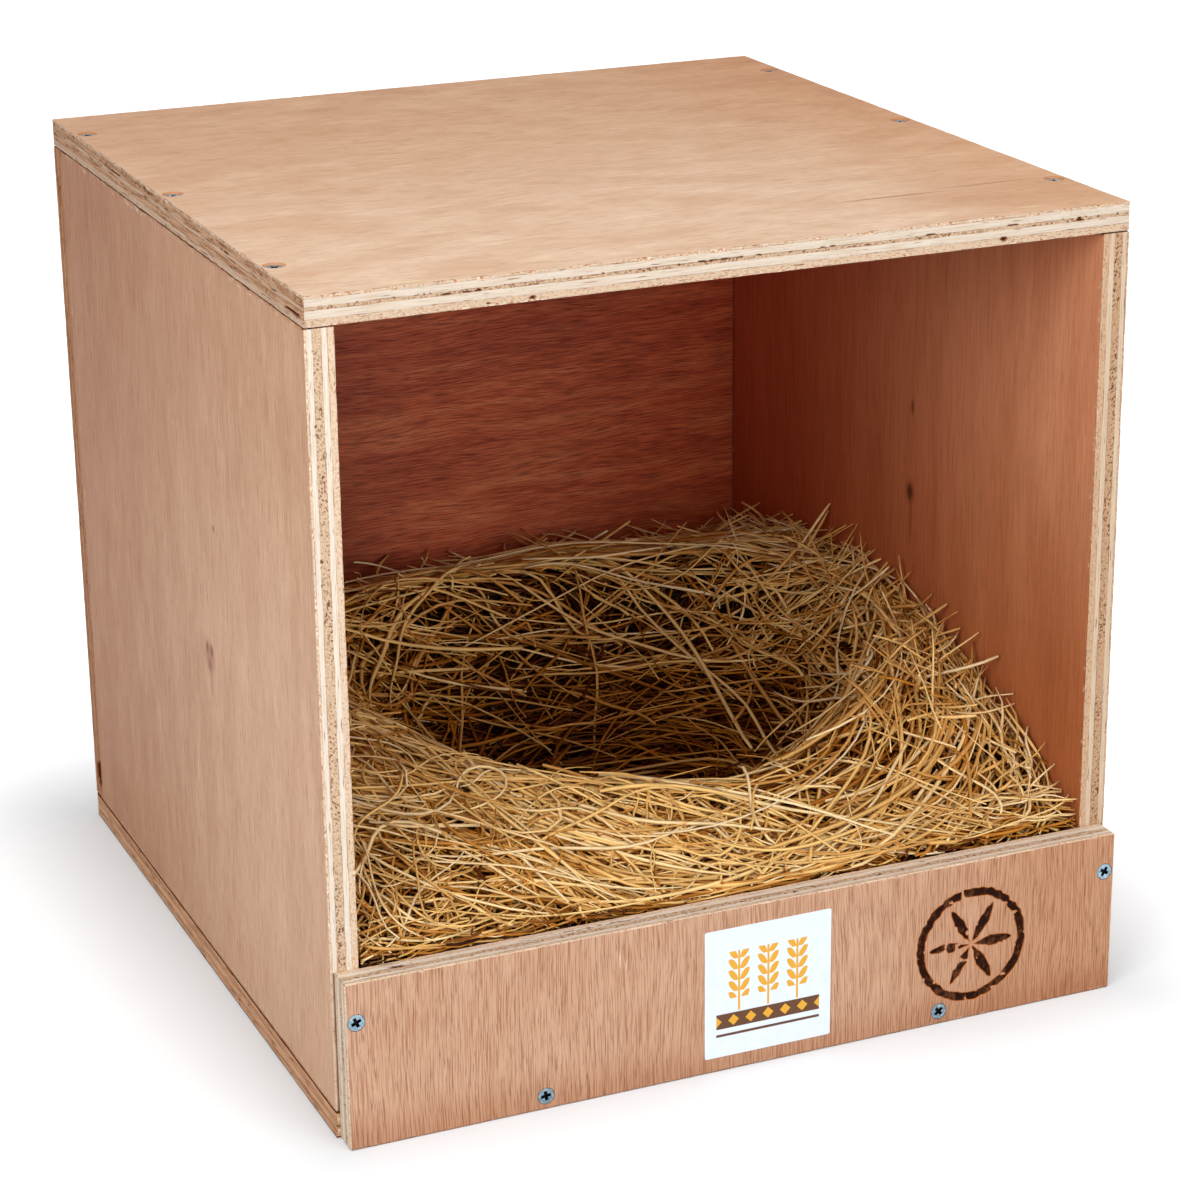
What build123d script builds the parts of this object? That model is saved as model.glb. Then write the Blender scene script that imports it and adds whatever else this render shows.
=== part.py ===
from build123d import *
import math
import os

# Chicken nesting box: a screwed plywood cube with an open front, a low front lip and a straw nest.
# X runs across the box, Y from the open front to the back, Z up, in millimetres.
# The origin is on the ground, under the middle of the overall footprint.

# Plywood box
box_width = 356.0
box_depth = 362.0
box_height = 350.0
ply = 12.0
edge_round = 0.6

# Front lip, a little shorter than the box at each end
lip_height = 74.0
lip_end_setback = 1.5

# Countersunk wood screw with a cross recess
screw_length = 30.0
screw_crest_d = 3.5
screw_core_d = 2.4
screw_head_d = 7.0
screw_head_angle = 90.0
screw_head_rim = 0.2
thread_pitch = 1.6
screw_point_length = 4.5
recess_span = 4.4
recess_wing = 1.5
recess_depth = 1.5
recess_taper = 10.0

# How the screws sit in the wood
head_sink = 0.15
top_head_sink = 0.8
head_clearance = 0.05
hole_clearance = 0.1
point_clearance = 0.5
screw_turns = (24.0, -31.0, 9.0, 41.0, -17.0, 33.0)

# Screw spacing, measured from the box's outer faces
panel_screw_front_inset = 51.0
panel_screw_back_inset = 40.0
back_screw_end_inset = 51.0
lip_end_screw_drop = 17.5
lip_floor_screw_spacing = 183.0

# Blank paper label on the lip
label_width = 58.5
label_height = 58.5
label_thickness = 0.15
label_corner = 1.0
label_x = 9.5
label_drop = 1.0

# Six-petal rosette in a ring, burnt into the lip
burn_x = 106.5
burn_drop = 2.0
burn_depth = 0.5
burn_ring_radius = 26.0
burn_ring_width = 3.0
petal_circle_radius = 19.5
petal_inner_gap = 2.4
petal_count = 6

# Straw nest: it climbs from the lip towards the back and has a round hollow near its middle
nest_gap = 0.3
nest_front_height = 60.0
nest_crown_height = 112.0
nest_crown_setback = 150.0
nest_back_height = 88.0
hollow_radius = 150.0
hollow_floor = 34.0
hollow_x = 15.0
hollow_setback = 172.0

# Places worked out from the sizes above
overall_depth = box_depth + ply + label_thickness
lip_front_y = -overall_depth / 2 + label_thickness
front_y = lip_front_y + ply
back_y = front_y + box_depth
side_depth = box_depth - ply
side_height = box_height - 2 * ply
side_x = box_width / 2 - ply / 2
mid_height = box_height / 2
lip_middle_z = lip_height / 2

screw_core_r = screw_core_d / 2
screw_crest_r = screw_crest_d / 2
screw_head_r = screw_head_d / 2
head_slope = math.tan(math.radians(screw_head_angle / 2))
head_height = screw_head_rim + (screw_head_r - screw_core_r) / head_slope
hole_r = screw_crest_r + hole_clearance
head_hole_r = screw_head_r + head_clearance
sink_r = head_hole_r + (head_sink + screw_head_rim) * head_slope
top_sink_r = head_hole_r + (top_head_sink + screw_head_rim) * head_slope
pilot_depth = head_sink + screw_length + point_clearance
top_pilot_depth = top_head_sink + screw_length + point_clearance


# Rows of screws along the sides: each place has its own Z pointing out of the wood
def evenly(first, last, count=3):
    step = (last - first) / (count - 1)
    return [first + step * i for i in range(count)]


panel_screw_ys = evenly(front_y + panel_screw_front_inset, back_y - panel_screw_back_inset)
back_screw_zs = evenly(back_screw_end_inset, box_height - back_screw_end_inset)
both_sides = (-side_x, side_x)

top_screw_places = []
floor_screw_places = []
for x in both_sides:
    for y in panel_screw_ys:
        top_screw_places.append(Plane((x, y, box_height), z_dir=(0, 0, 1)).location)
        floor_screw_places.append(Plane((x, y, 0), z_dir=(0, 0, -1)).location)

back_screw_places = []
for x in both_sides:
    for z in back_screw_zs:
        back_screw_places.append(Plane((x, back_y, z), x_dir=(1, 0, 0), z_dir=(0, 1, 0)).location)

lip_screw_spots = [(x, lip_height - lip_end_screw_drop) for x in both_sides]
lip_screw_spots += [(x, ply / 2) for x in (-lip_floor_screw_spacing / 2, lip_floor_screw_spacing / 2)]
lip_screw_places = []
for x, z in lip_screw_spots:
    lip_screw_places.append(Plane((x, lip_front_y, z), x_dir=(1, 0, 0), z_dir=(0, -1, 0)).location)


# Top panel, lying on the sides and the back
with BuildPart() as top_panel:
    with Locations((0, front_y + box_depth / 2, box_height - ply / 2)):
        Box(box_width, box_depth, ply)
    fillet(top_panel.edges(), edge_round)
    with Locations(*top_screw_places):
        CounterSinkHole(hole_r, top_sink_r, counter_sink_angle=screw_head_angle)
top_panel.part.label = "top_panel"

# Floor panel, under the sides and the back
with BuildPart() as floor_panel:
    with Locations((0, front_y + box_depth / 2, ply / 2)):
        Box(box_width, box_depth, ply)
    fillet(floor_panel.edges(), edge_round)
    with Locations(*floor_screw_places):
        CounterSinkHole(hole_r, sink_r, counter_sink_angle=screw_head_angle)
    with Locations(*lip_screw_places):
        Hole(hole_r, depth=pilot_depth)
floor_panel.part.label = "floor_panel"

# Left side panel, drilled in its four edges for the screws that come in from its neighbours
with BuildPart() as left_side:
    with Locations((-side_x, front_y + side_depth / 2, mid_height)):
        Box(ply, side_depth, side_height)
    fillet(left_side.edges(), edge_round)
    with Locations(*top_screw_places):
        Hole(hole_r, depth=top_pilot_depth)
    with Locations(*floor_screw_places, *back_screw_places, *lip_screw_places):
        Hole(hole_r, depth=pilot_depth)
left_side.part.label = "left_side"

# Right side panel, the same piece on the other side
with BuildPart() as right_side:
    with Locations((side_x, front_y + side_depth / 2, mid_height)):
        Box(ply, side_depth, side_height)
    fillet(right_side.edges(), edge_round)
    with Locations(*top_screw_places):
        Hole(hole_r, depth=top_pilot_depth)
    with Locations(*floor_screw_places, *back_screw_places, *lip_screw_places):
        Hole(hole_r, depth=pilot_depth)
right_side.part.label = "right_side"

# Back panel, over the sides' rear edges
with BuildPart() as back_panel:
    with Locations((0, back_y - ply / 2, mid_height)):
        Box(box_width, ply, side_height)
    fillet(back_panel.edges(), edge_round)
    with Locations(*back_screw_places):
        CounterSinkHole(hole_r, sink_r, counter_sink_angle=screw_head_angle)
back_panel.part.label = "back_panel"

# One petal of the rosette, between two arcs of the same circle
with BuildSketch() as petal:
    with BuildLine():
        RadiusArc((petal_inner_gap, 0), (petal_circle_radius, 0), petal_circle_radius)
        RadiusArc((petal_inner_gap, 0), (petal_circle_radius, 0), -petal_circle_radius)
    make_face()

# Front lip, with the burnt rosette as a shallow pocket
burn_plane = Plane(
    (burn_x, lip_front_y, lip_middle_z - burn_drop), x_dir=(1, 0, 0), z_dir=(0, -1, 0)
)
with BuildPart() as front_lip:
    with Locations((0, lip_front_y + ply / 2, lip_middle_z)):
        Box(box_width - 2 * lip_end_setback, ply, lip_height)
    fillet(front_lip.edges(), edge_round)
    with Locations(*lip_screw_places):
        CounterSinkHole(hole_r, sink_r, counter_sink_angle=screw_head_angle)
    with BuildSketch(burn_plane):
        Circle(burn_ring_radius)
        Circle(burn_ring_radius - burn_ring_width, mode=Mode.SUBTRACT)
        with PolarLocations(0, petal_count):
            add(petal.sketch)
    extrude(amount=-burn_depth, mode=Mode.SUBTRACT)
front_lip.part.label = "front_lip"

# Blank paper label, stuck flat on the lip
label_plane = Plane(
    (label_x, lip_front_y, lip_middle_z - label_drop), x_dir=(1, 0, 0), z_dir=(0, -1, 0)
)
with BuildPart() as lip_label:
    with BuildSketch(label_plane):
        RectangleRounded(label_width, label_height, label_corner)
    extrude(amount=label_thickness)
lip_label.part.label = "lip_label"

# One wood screw, head up at the origin: cone head, ridged thread and point, then the cross recess
thread_top = -head_height - thread_pitch / 2
thread_bottom = -screw_length + screw_point_length
ridge_count = int((thread_top - thread_bottom) / thread_pitch)
with BuildPart() as screw:
    with BuildSketch(Plane.XZ):
        with BuildLine():
            outline = [(0, 0), (screw_head_r, 0), (screw_head_r, -screw_head_rim), (screw_core_r, -head_height)]
            for ridge in range(ridge_count):
                ridge_top = thread_top - ridge * thread_pitch
                outline.append((screw_core_r, ridge_top))
                outline.append((screw_crest_r, ridge_top - thread_pitch / 4))
                outline.append((screw_core_r, ridge_top - thread_pitch / 2))
            outline.append((screw_core_r, thread_bottom))
            outline.append((0, -screw_length))
            Polyline(*outline, close=True)
        make_face()
    revolve(axis=Axis.Z)
    with BuildSketch(Plane.XY):
        Rectangle(recess_span, recess_wing)
        Rectangle(recess_wing, recess_span)
    extrude(amount=-recess_depth, taper=recess_taper, mode=Mode.SUBTRACT)

# The screw again at each place, its head under the surface and its recess left as the driver stopped
sunk_screw = screw.part.moved(Location((0, 0, -head_sink)))
top_sunk_screw = screw.part.moved(Location((0, 0, -top_head_sink)))


def driven(places):
    return [place * Rotation(0, 0, turn) for place, turn in zip(places, screw_turns)]


with BuildPart() as top_screws:
    with Locations(*driven(top_screw_places)):
        add(top_sunk_screw)
top_screws.part.label = "top_screws"

with BuildPart() as floor_screws:
    with Locations(*driven(floor_screw_places)):
        add(sunk_screw)
floor_screws.part.label = "floor_screws"

with BuildPart() as back_screws:
    with Locations(*driven(back_screw_places)):
        add(sunk_screw)
back_screws.part.label = "back_screws"

with BuildPart() as lip_screws:
    with Locations(*driven(lip_screw_places)):
        add(sunk_screw)
lip_screws.part.label = "lip_screws"

# Straw nest on the floor, a curved bank with a round hollow pressed into it
nest_front_y = front_y + nest_gap
nest_back_y = back_y - ply - nest_gap
nest_base_z = ply + nest_gap
nest_width = box_width - 2 * ply - 2 * nest_gap
with BuildPart() as straw_nest:
    with BuildSketch(Plane.YZ):
        with BuildLine():
            front_top = (nest_front_y, nest_base_z + nest_front_height)
            crown = (front_y + nest_crown_setback, nest_base_z + nest_crown_height)
            back_top = (nest_back_y, nest_base_z + nest_back_height)
            ThreePointArc(front_top, crown, back_top)
            Polyline(back_top, (nest_back_y, nest_base_z), (nest_front_y, nest_base_z), front_top)
        make_face()
    extrude(amount=nest_width / 2, both=True)
    with Locations((hollow_x, front_y + hollow_setback, nest_base_z + hollow_floor + hollow_radius)):
        Sphere(hollow_radius, mode=Mode.SUBTRACT)
straw_nest.part.label = "straw_nest"

# One file for each piece
os.makedirs("parts", exist_ok=True)
panels = (top_panel, floor_panel, left_side, right_side, back_panel, front_lip)
screw_groups = (top_screws, floor_screws, back_screws, lip_screws)
for piece in (*panels, *screw_groups, lip_label, straw_nest):
    export_step(piece.part, f"parts/{piece.part.label}.step")
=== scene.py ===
import math
from functools import partial
from types import SimpleNamespace

import bpy
import numpy as np
from mathutils import Matrix, Vector
from mathutils.bvhtree import BVHTree
from mathutils.geometry import delaunay_2d_cdt


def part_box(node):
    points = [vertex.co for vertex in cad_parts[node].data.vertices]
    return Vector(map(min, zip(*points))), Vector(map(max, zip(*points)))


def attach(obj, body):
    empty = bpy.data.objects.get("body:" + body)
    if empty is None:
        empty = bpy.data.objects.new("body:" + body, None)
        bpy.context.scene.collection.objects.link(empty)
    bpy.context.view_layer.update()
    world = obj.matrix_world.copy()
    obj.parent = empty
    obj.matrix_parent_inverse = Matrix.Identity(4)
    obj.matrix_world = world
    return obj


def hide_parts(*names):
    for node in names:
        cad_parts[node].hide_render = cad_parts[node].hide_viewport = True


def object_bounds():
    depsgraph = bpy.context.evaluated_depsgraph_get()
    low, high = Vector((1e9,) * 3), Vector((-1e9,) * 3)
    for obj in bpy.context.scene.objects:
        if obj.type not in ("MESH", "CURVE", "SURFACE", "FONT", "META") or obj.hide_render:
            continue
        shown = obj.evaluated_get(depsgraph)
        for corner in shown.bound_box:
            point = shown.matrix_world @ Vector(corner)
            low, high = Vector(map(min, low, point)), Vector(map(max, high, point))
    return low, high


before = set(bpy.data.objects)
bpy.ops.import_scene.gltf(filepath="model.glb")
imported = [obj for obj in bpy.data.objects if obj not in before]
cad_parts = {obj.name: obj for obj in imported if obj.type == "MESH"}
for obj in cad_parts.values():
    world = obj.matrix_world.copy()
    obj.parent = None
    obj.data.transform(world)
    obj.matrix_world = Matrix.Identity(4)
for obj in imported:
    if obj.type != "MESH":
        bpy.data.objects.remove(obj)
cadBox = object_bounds()
mm = 0.001  # sizes below are in millimetres, Blender works in metres
scene = bpy.context.scene
scene.view_settings.view_transform = "Standard"
print("frame loaded with", len(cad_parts), "nodes")


# Small helpers

def linear(hexColour):
    parts = [int(hexColour[i:i + 2], 16) / 255 for i in (1, 3, 5)]
    return [p / 12.92 if p <= 0.04045 else ((p + 0.055) / 1.055) ** 2.4 for p in parts] + [1.0]


# Adds a node of a kind, such as a Math node that multiplies (Math MULTIPLY). Its inputs are links, numbers or
# hex colours, and the stops of a ramp are numbers or hex colours.
def addNode(tree, kind, inputs=None, out=0, stops=None, stepped=False, **settings):
    kind, *operation = kind.split()
    made = tree.nodes.new("ShaderNode" + kind)
    if operation:
        made.operation = operation[0]
    for name, value in settings.items():
        setattr(made, name, value)
    for key, value in (inputs or {}).items():
        if isinstance(value, bpy.types.NodeSocket):
            tree.links.new(value, made.inputs[key])
        else:
            made.inputs[key].default_value = linear(value) if isinstance(value, str) else value
    for i, (place, value) in enumerate(stops or []):
        element = made.color_ramp.elements[i] if i < 2 else made.color_ramp.elements.new(place)
        element.position = place
        element.color = linear(value) if isinstance(value, str) else [value] * 3 + [1.0]
    if stepped:
        made.color_ramp.interpolation = "CONSTANT"
    return made.outputs[out] if made.outputs else None


colourMix = {"data_type": "RGBA", "out": 2}  # for a node that mixes colours: share in 0, colours in 6 and 7


# An empty material, and the function that adds a node to it
def newMaterial(name):
    material = bpy.data.materials.new(name)
    material.use_nodes = True
    material.node_tree.nodes.clear()
    return material, partial(addNode, material.node_tree)


# Noise whose cells are longMm along the fibres and wideMm across them
def fibrePattern(add, space, longMm, wideMm, detail=2.0, roughness=0.5):
    perCell = (1 / (longMm * mm), 1 / (wideMm * mm), 1 / (wideMm * mm))
    cells = add("VectorMath MULTIPLY", {0: space, 1: perCell})
    return add("TexNoise", {
        "Vector": cells, "Scale": 1.0, "Detail": detail, "Roughness": roughness})


# Smooth random values from 0 to 1 over two coordinates, for shaping meshes
def cloudNoise(rng, a, b, cellA, cellB):
    a, b = np.broadcast_arrays(np.asarray(a) / cellA, np.asarray(b) / cellB)
    a, b = a - a.min(), b - b.min()
    i, j = a.astype(int), b.astype(int)
    values = rng.random((i.max() + 2, j.max() + 2))
    shareA, shareB = (x * x * (3 - 2 * x) for x in (a - i, b - j))
    near = values[i, j] * (1 - shareB) + values[i, j + 1] * shareB
    far = values[i + 1, j] * (1 - shareB) + values[i + 1, j + 1] * shareB
    return near * (1 - shareA) + far * shareA


def ramp01(value, start, end):
    share = np.clip((value - start) / (end - start), 0, 1)
    return share * share * (3 - 2 * share)


# A smooth mesh from points in millimetres, with its texture map if it has one
def newMesh(name, pointsMm, faces, bakeMap=None):
    mesh = bpy.data.meshes.new(name)
    mesh.from_pydata(pointsMm * mm, [], faces)
    if bakeMap is not None:
        mesh.uv_layers.new(name="OFBake").uv.foreach_set("vector", bakeMap.astype(np.float32).ravel())
    mesh.shade_smooth()
    return mesh


# A piece of the visual model, in place of a CAD node
def layPiece(mesh, materials, node):
    for material in materials:
        mesh.materials.append(material)
    piece = bpy.data.objects.new(mesh.name, mesh)
    scene.collection.objects.link(piece)
    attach(piece, "root")
    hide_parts(node)


# Camera, floor and lights

studio = {
    "eyeMm": (-545.4, -1305.3, 656.7),
    "aimMm": (15.2, 0.0, 144.9),
    "rollDegrees": -0.63,
    "lensMm": 99.2,
    "sensorMm": 36,
    "floorMm": 12000,
    "floorColour": "#D5D8DB",
    "floorLift": (0.20, 0.95),      # glow of the paper for the eye: beside the box, kept low as painted shade round it, and further out
    "floorFadeMm": (0, 140),
    "glow": "#FFFFFF",
    "worldLight": 0.38,
    "lamps": {                      # place, aim, size in mm and watts
        "key softbox": ((-1250, -950, 900), (0, -60, 150), (900, 900), 13.8),
        "front softbox": ((380, -1850, 560), (0, 0, 150), (1300, 900), 15.5),
        "overhead softbox": ((0, -520, 1650), (0, -60, 350), (1100, 900), 8),
    },
}


def aimed(placeMm, aimMm, rollDegrees=0.0):
    place, aim = Vector(placeMm) * mm, Vector(aimMm) * mm
    turn = (aim - place).to_track_quat("-Z", "Y").to_matrix().to_4x4()
    return Matrix.Translation(place) @ turn @ Matrix.Rotation(math.radians(rollDegrees), 4, "Z")


def placeCamera():
    lens = bpy.data.cameras.new("camera")
    lens.sensor_width = studio["sensorMm"]
    lens.lens = studio["lensMm"]
    camera = bpy.data.objects.new("camera", lens)
    camera.matrix_world = aimed(studio["eyeMm"], studio["aimMm"], studio["rollDegrees"])
    scene.collection.objects.link(camera)
    scene.camera = camera


def softbox(name, placeMm, aimMm, sizeMm, watts):
    lamp = bpy.data.lights.new(name, "AREA")
    lamp.shape = "RECTANGLE"
    lamp.size, lamp.size_y = sizeMm[0] * mm, sizeMm[1] * mm
    lamp.energy = watts
    holder = bpy.data.objects.new(name, lamp)
    holder.matrix_world = aimed(placeMm, aimMm)
    scene.collection.objects.link(holder)


# 1 for rays that end in the eye, straight or by way of something shiny or clear, and 0 for light on the part
def seenRays(add):
    camera, glossy, clear = (add("LightPath", out=f"Is {ray} Ray")
                             for ray in ("Camera", "Glossy", "Transmission"))
    seen = add("Math MAXIMUM", {0: camera, 1: glossy})
    return add("Math MAXIMUM", {0: seen, 1: clear})


# Matt white paper sweep: it takes the soft shadow and is lifted to white for the eye only
def paperMaterial(name):
    paper, add = newMaterial(name)
    place = add("TexCoord", out="Object")
    place = add("VectorMath ABSOLUTE", {0: place})
    beyond = add("VectorMath SUBTRACT", {0: place, 1: tuple(cadBox[1])})
    beyond = add("VectorMath MAXIMUM", {0: beyond, 1: (0.0, 0.0, 0.0)})
    away = add("VectorMath LENGTH", {0: beyond}, out="Value")
    near, far = (reach * mm for reach in studio["floorFadeMm"])
    beside, outside = studio["floorLift"]
    # Less glow beside the box leaves the paper darker there: painted shade round the box
    lift = add("MapRange", {0: away, 1: near, 2: far, 3: beside, 4: outside})
    lift = add("Math MULTIPLY", {0: lift, 1: seenRays(add)})
    matt = add("BsdfDiffuse", {"Color": studio["floorColour"]})
    glow = add("Emission", {"Color": studio["glow"], "Strength": lift})
    both = add("AddShader", {0: matt, 1: glow})
    add("OutputMaterial", {"Surface": both})
    return paper


def buildStudio():
    placeCamera()
    half = studio["floorMm"] / 2 * mm
    corners = [(-half, -half, 0), (half, -half, 0), (half, half, 0), (-half, half, 0)]
    sheet = bpy.data.meshes.new("floor")
    sheet.from_pydata(corners, [], [(0, 1, 2, 3)])
    sheet.materials.append(paperMaterial("matt white paper sweep"))
    floor = bpy.data.objects.new("floor", sheet)
    scene.collection.objects.link(floor)

    world = bpy.data.worlds.new("studio")
    scene.world = world
    world.use_nodes = True
    world.node_tree.nodes.clear()
    add = partial(addNode, world.node_tree)
    level = add("MapRange", {0: seenRays(add), 3: studio["worldLight"], 4: 1.0})
    sky = add("Background", {"Color": studio["glow"], "Strength": level})
    add("OutputWorld", {"Surface": sky})

    for name, lamp in studio["lamps"].items():
        softbox(name, *lamp)
    print("studio ready")


# Plywood: materials

edgeLook = {                      # kinds of wood have a light and a dark tone, a size and limits
    "long": ("#E4D7C7", "#D2BDA4", (18, 0.4), (0.34, 0.54)),   # plies cut along their fibres: smooth and pale
    "end": ("#D3B89C", "#B38F6C", (0.9, 0.5), (0.36, 0.54)),   # plies cut across their fibres: porous
    "layer": ("#CFA583", "#A0704A", (22, 0.6), (0.38, 0.56)),  # both on the panel's other edges: streaky
    "layerOnLong": 0.65,
    "outer": "#E0C8AE",           # outer plies, rough and sanded over
    "outerAmount": 0.7,
    "fleckDark": "#B87845",
    "fleckPale": "#EBDCC6",
    "fleckMm": (1.5, 0.7),
    "fleckAt": (0.54, 0.66),      # limits in the pattern, as below
    "fleckAmount": 0.7,
    "pore": "#84461F",
    "poreMm": (2.2, 1.3),         # about twice the real size, so that pores show
    "poreAt": (0.32, 0.20),
    "poreLean": 0.6,
    "poreLeast": 0.2,             # on outer plies and on the streaky edges, against 1 elsewhere
    "crowdMm": (26, 5),
    "crowdAt": (0.40, 0.60),
    "crowdAmount": (0.1, 0.95),
    "crack": "#7A4A22",
    "crackMm": (10, 0.7),
    "crackRare": (0.67, 0.60),    # on the smooth and on the streaky edges
    "crackSoft": 0.07,
    "crackAmount": 0.85,
    "glue": "#8A5A33",
    "glueHalfMm": 0.25,
    "gluePatchMm": (16, 2.5),
    "gluePatchAt": (0.46, 0.62),
    "gluePatchAmount": (0.1, 0.95),
    "pitAndGapShade": "#5A2609",
    "wobbleMm": (28, 6),
    "wobbleBy": 0.025,            # of the thickness
    "reliefMm": 0.25,
    "roughness": 0.72,
    "gloss": 0.25,
}

# Mottle, streaks and pores have a colour, a size along and across the fibres, limits and an amount. Real
# pores are about 0.25 mm wide: they are drawn twice as wide and longer, so that they show. Shade fades are
# painted shade: a colour, where it starts and is full, and whether that is along (0) or across (1) the
# fibres. Knots and flecks are a place along and across the sheet and in its slice of the wood, half length,
# half width, strength and colour.
# Bruise is the colour of wood bruised round screws, and also of dirt and painted shade beside joints
veneerLooks = {
    # Light tan sheet, fibres left to right, mottled, with painted shade that makes it darker and warmer
    # towards the back and the right
    "top": {
        "tones": ("#DFB696", "#E9C5A7", "#F3D3B8"), "figureMm": (42, 20), "driftMm": (130, 60, 5),
        "mottle": ("#D3A178", (50, 26), (0.46, 0.70), 0.5),
        "streak": ("#BD8A60", (18, 0.6), (0.47, 0.68), 0.42),
        "pore": ("#9F6B43", (8, 0.45), (0.60, 0.72), 0.5), "sheen": 0.25, "bruise": "#B5784A", "char": None,
        "shadeFades": (("#EBD9C7", -185, 150, 1), ("#F6E7D4", 60, 175, 0)),
        "knots": ((94, -130.5, 0, 32, 1.1, 0.75, "#8E5A34"), (140, -126, 0, 30, 1.1, 0.7, "#8E5A34"),
                  (142, -140, 0, 55, 40, 0.35, "#B9794A"), (-136, -176, 0, 9, 1.6, 0.8, "#F0D7A4"),
                  (136, -171, 0, 8, 1.8, 0.6, "#EBCB9C"), (-60, 40, 0, 9, 1.0, 0.4, "#9A6640")),
    },
    # Greyish tan sheet, fibres upright, with short reddish dashes, and painted shade that makes it darker
    # towards the back and the top
    "side": {
        "tones": ("#CAA182", "#D3AA8B", "#DCB596"), "figureMm": (60, 18), "driftMm": (160, 50, 4),
        "mottle": ("#C08A67", (60, 14), (0.46, 0.70), 0.45),
        "streak": ("#AC7450", (22, 0.6), (0.47, 0.68), 0.55),
        "pore": ("#8E5436", (7, 0.5), (0.60, 0.72), 0.5), "sheen": 0.35, "bruise": "#A8662E", "char": None,
        "shadeFades": (("#DCC6B3", -140, 160, 1), ("#EEE2D7", -20, 150, 0)),
        "knots": ((-17.5, -28, 600, 9.5, 8.5, 0.75, "#A06544"), (-13.5, -31, 600, 3.4, 2.6, 0.9, "#6E3820"),
                  (-13.8, -25, 600, 3.2, 2.4, 0.9, "#6E3820"), (-21, -27.5, 600, 4.0, 3.0, 0.7, "#7E4629"),
                  (-29, -28.5, 600, 8, 2.4, 0.45, "#96603F"), (120, 61, 600, 6, 3.0, 0.7, "#A5633F"),
                  (136, 58, 600, 14, 2.4, 0.5, "#A46C4A"), (45, -43, 600, 2.0, 1.8, 0.8, "#7A4428")),
    },
    # Coarse open-pored sheet, fibres upright, in long dark lines that lean a little, with painted shade that
    # makes it darker towards the right and the bottom
    "lip": {
        "tones": ("#C29879", "#C69D80", "#CCA487"), "figureMm": (70, 20), "driftMm": (90, 70, 5),
        "mottle": ("#BD8B69", (60, 30), (0.46, 0.70), 0.2),
        "streak": ("#91522A", (22, 0.46), (0.49, 0.60), 0.6),
        "pore": ("#74432A", (8, 0.45), (0.60, 0.72), 0.6), "sheen": 0.25, "bruise": "#6B3D20",
        "ash": "#7A4A2E",
        "char": ((0.0, "#C98A58"), (1.0, "#240E06"), (0.35, "#B0601F"), (0.65, "#3F1B0A")),
        "shadeFades": (("#F2E3D4", 40, 170, 1), ("#EBDDD2", -14, -37, 0)),
        "knots": ((24, -58, 1500, 5, 0.5, 0.7, "#E6CDB6"), (21, -55, 1500, 4, 0.4, 0.6, "#E6CDB6")),
    },
    # Red-brown inner sheet, fibres left to right, wavy rows of dark and pale dashes. Its deep red-brown is
    # partly the wood's own and partly painted shade, and painted shade darkens it towards both ends and the
    # top
    "inside": {
        "tones": ("#A2421F", "#BC5832", "#D0784C"), "figureMm": (80, 8), "driftMm": (80, 32, 4.5),
        "mottle": ("#7E2E16", (130, 24), (0.46, 0.70), 0.45),
        "streak": ("#561F0E", (14, 0.55), (0.46, 0.68), 0.7),
        "pore": ("#42160C", (9, 0.5), (0.60, 0.72), 0.6), "sheen": 0.45, "bruise": "#30140B", "char": None,
        "shadeFades": (("#FEE4CB", 60, 170, 0), ("#AC8970", 20, -120, 0), ("#EFC4AE", 20, 110, 1)),
        "knots": (),
    },
    # Reddish inner sheet of the sides, fibres upright, with painted shade that makes it darker and redder
    # towards the back and the floor
    "innerSide": {
        "tones": ("#D99065", "#E0986F", "#E7A379"), "figureMm": (110, 22), "driftMm": (160, 60, 5),
        "mottle": ("#B06C45", (90, 28), (0.46, 0.70), 0.3),
        "streak": ("#A86242", (26, 0.7), (0.47, 0.70), 0.4),
        "pore": ("#925636", (9, 0.5), (0.60, 0.72), 0.35), "sheen": 0.3, "bruise": "#30140B", "char": None,
        "shadeFades": (("#F8BFA9", -120, 150, 1), ("#CEB192", 120, -70, 0)),
        "knots": ((5.5, -16, 970, 8, 6, 0.5, "#7A3A22"), (5.5, -16, 970, 5, 3.4, 0.85, "#46200F"),
                  (-8, -17, 970, 14, 1.8, 0.5, "#7A3A22"), (47, -17, 970, 5, 2, 0.7, "#5E2C18")),
    },
}

veneer = {
    "sheenAt": (0.50, 0.30),      # limits in the pattern, as below
    "knotAt": (1.5, 0.9),
    "bruiseAmount": 0.75,
    "splinterMm": (1.6, 0.7),
    "ashMm": (4.5, 3.5),
    "ashAt": (0.50, 0.66),
    "ashAmount": 0.5,
    "charShade": (0.75, 1.35),
    "scorchFull": 0.4,
    "reliefMm": 0.25,
    "roughness": (0.50, 0.66),
    "gloss": (0.35, 0.05),        # bare wood, and wood that is burnt
}

# Wood below a torn surface: pale, with brown splinters
tornStops = [(0.42, edgeLook["fleckPale"]), (0.60, edgeLook["fleckDark"])]


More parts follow.
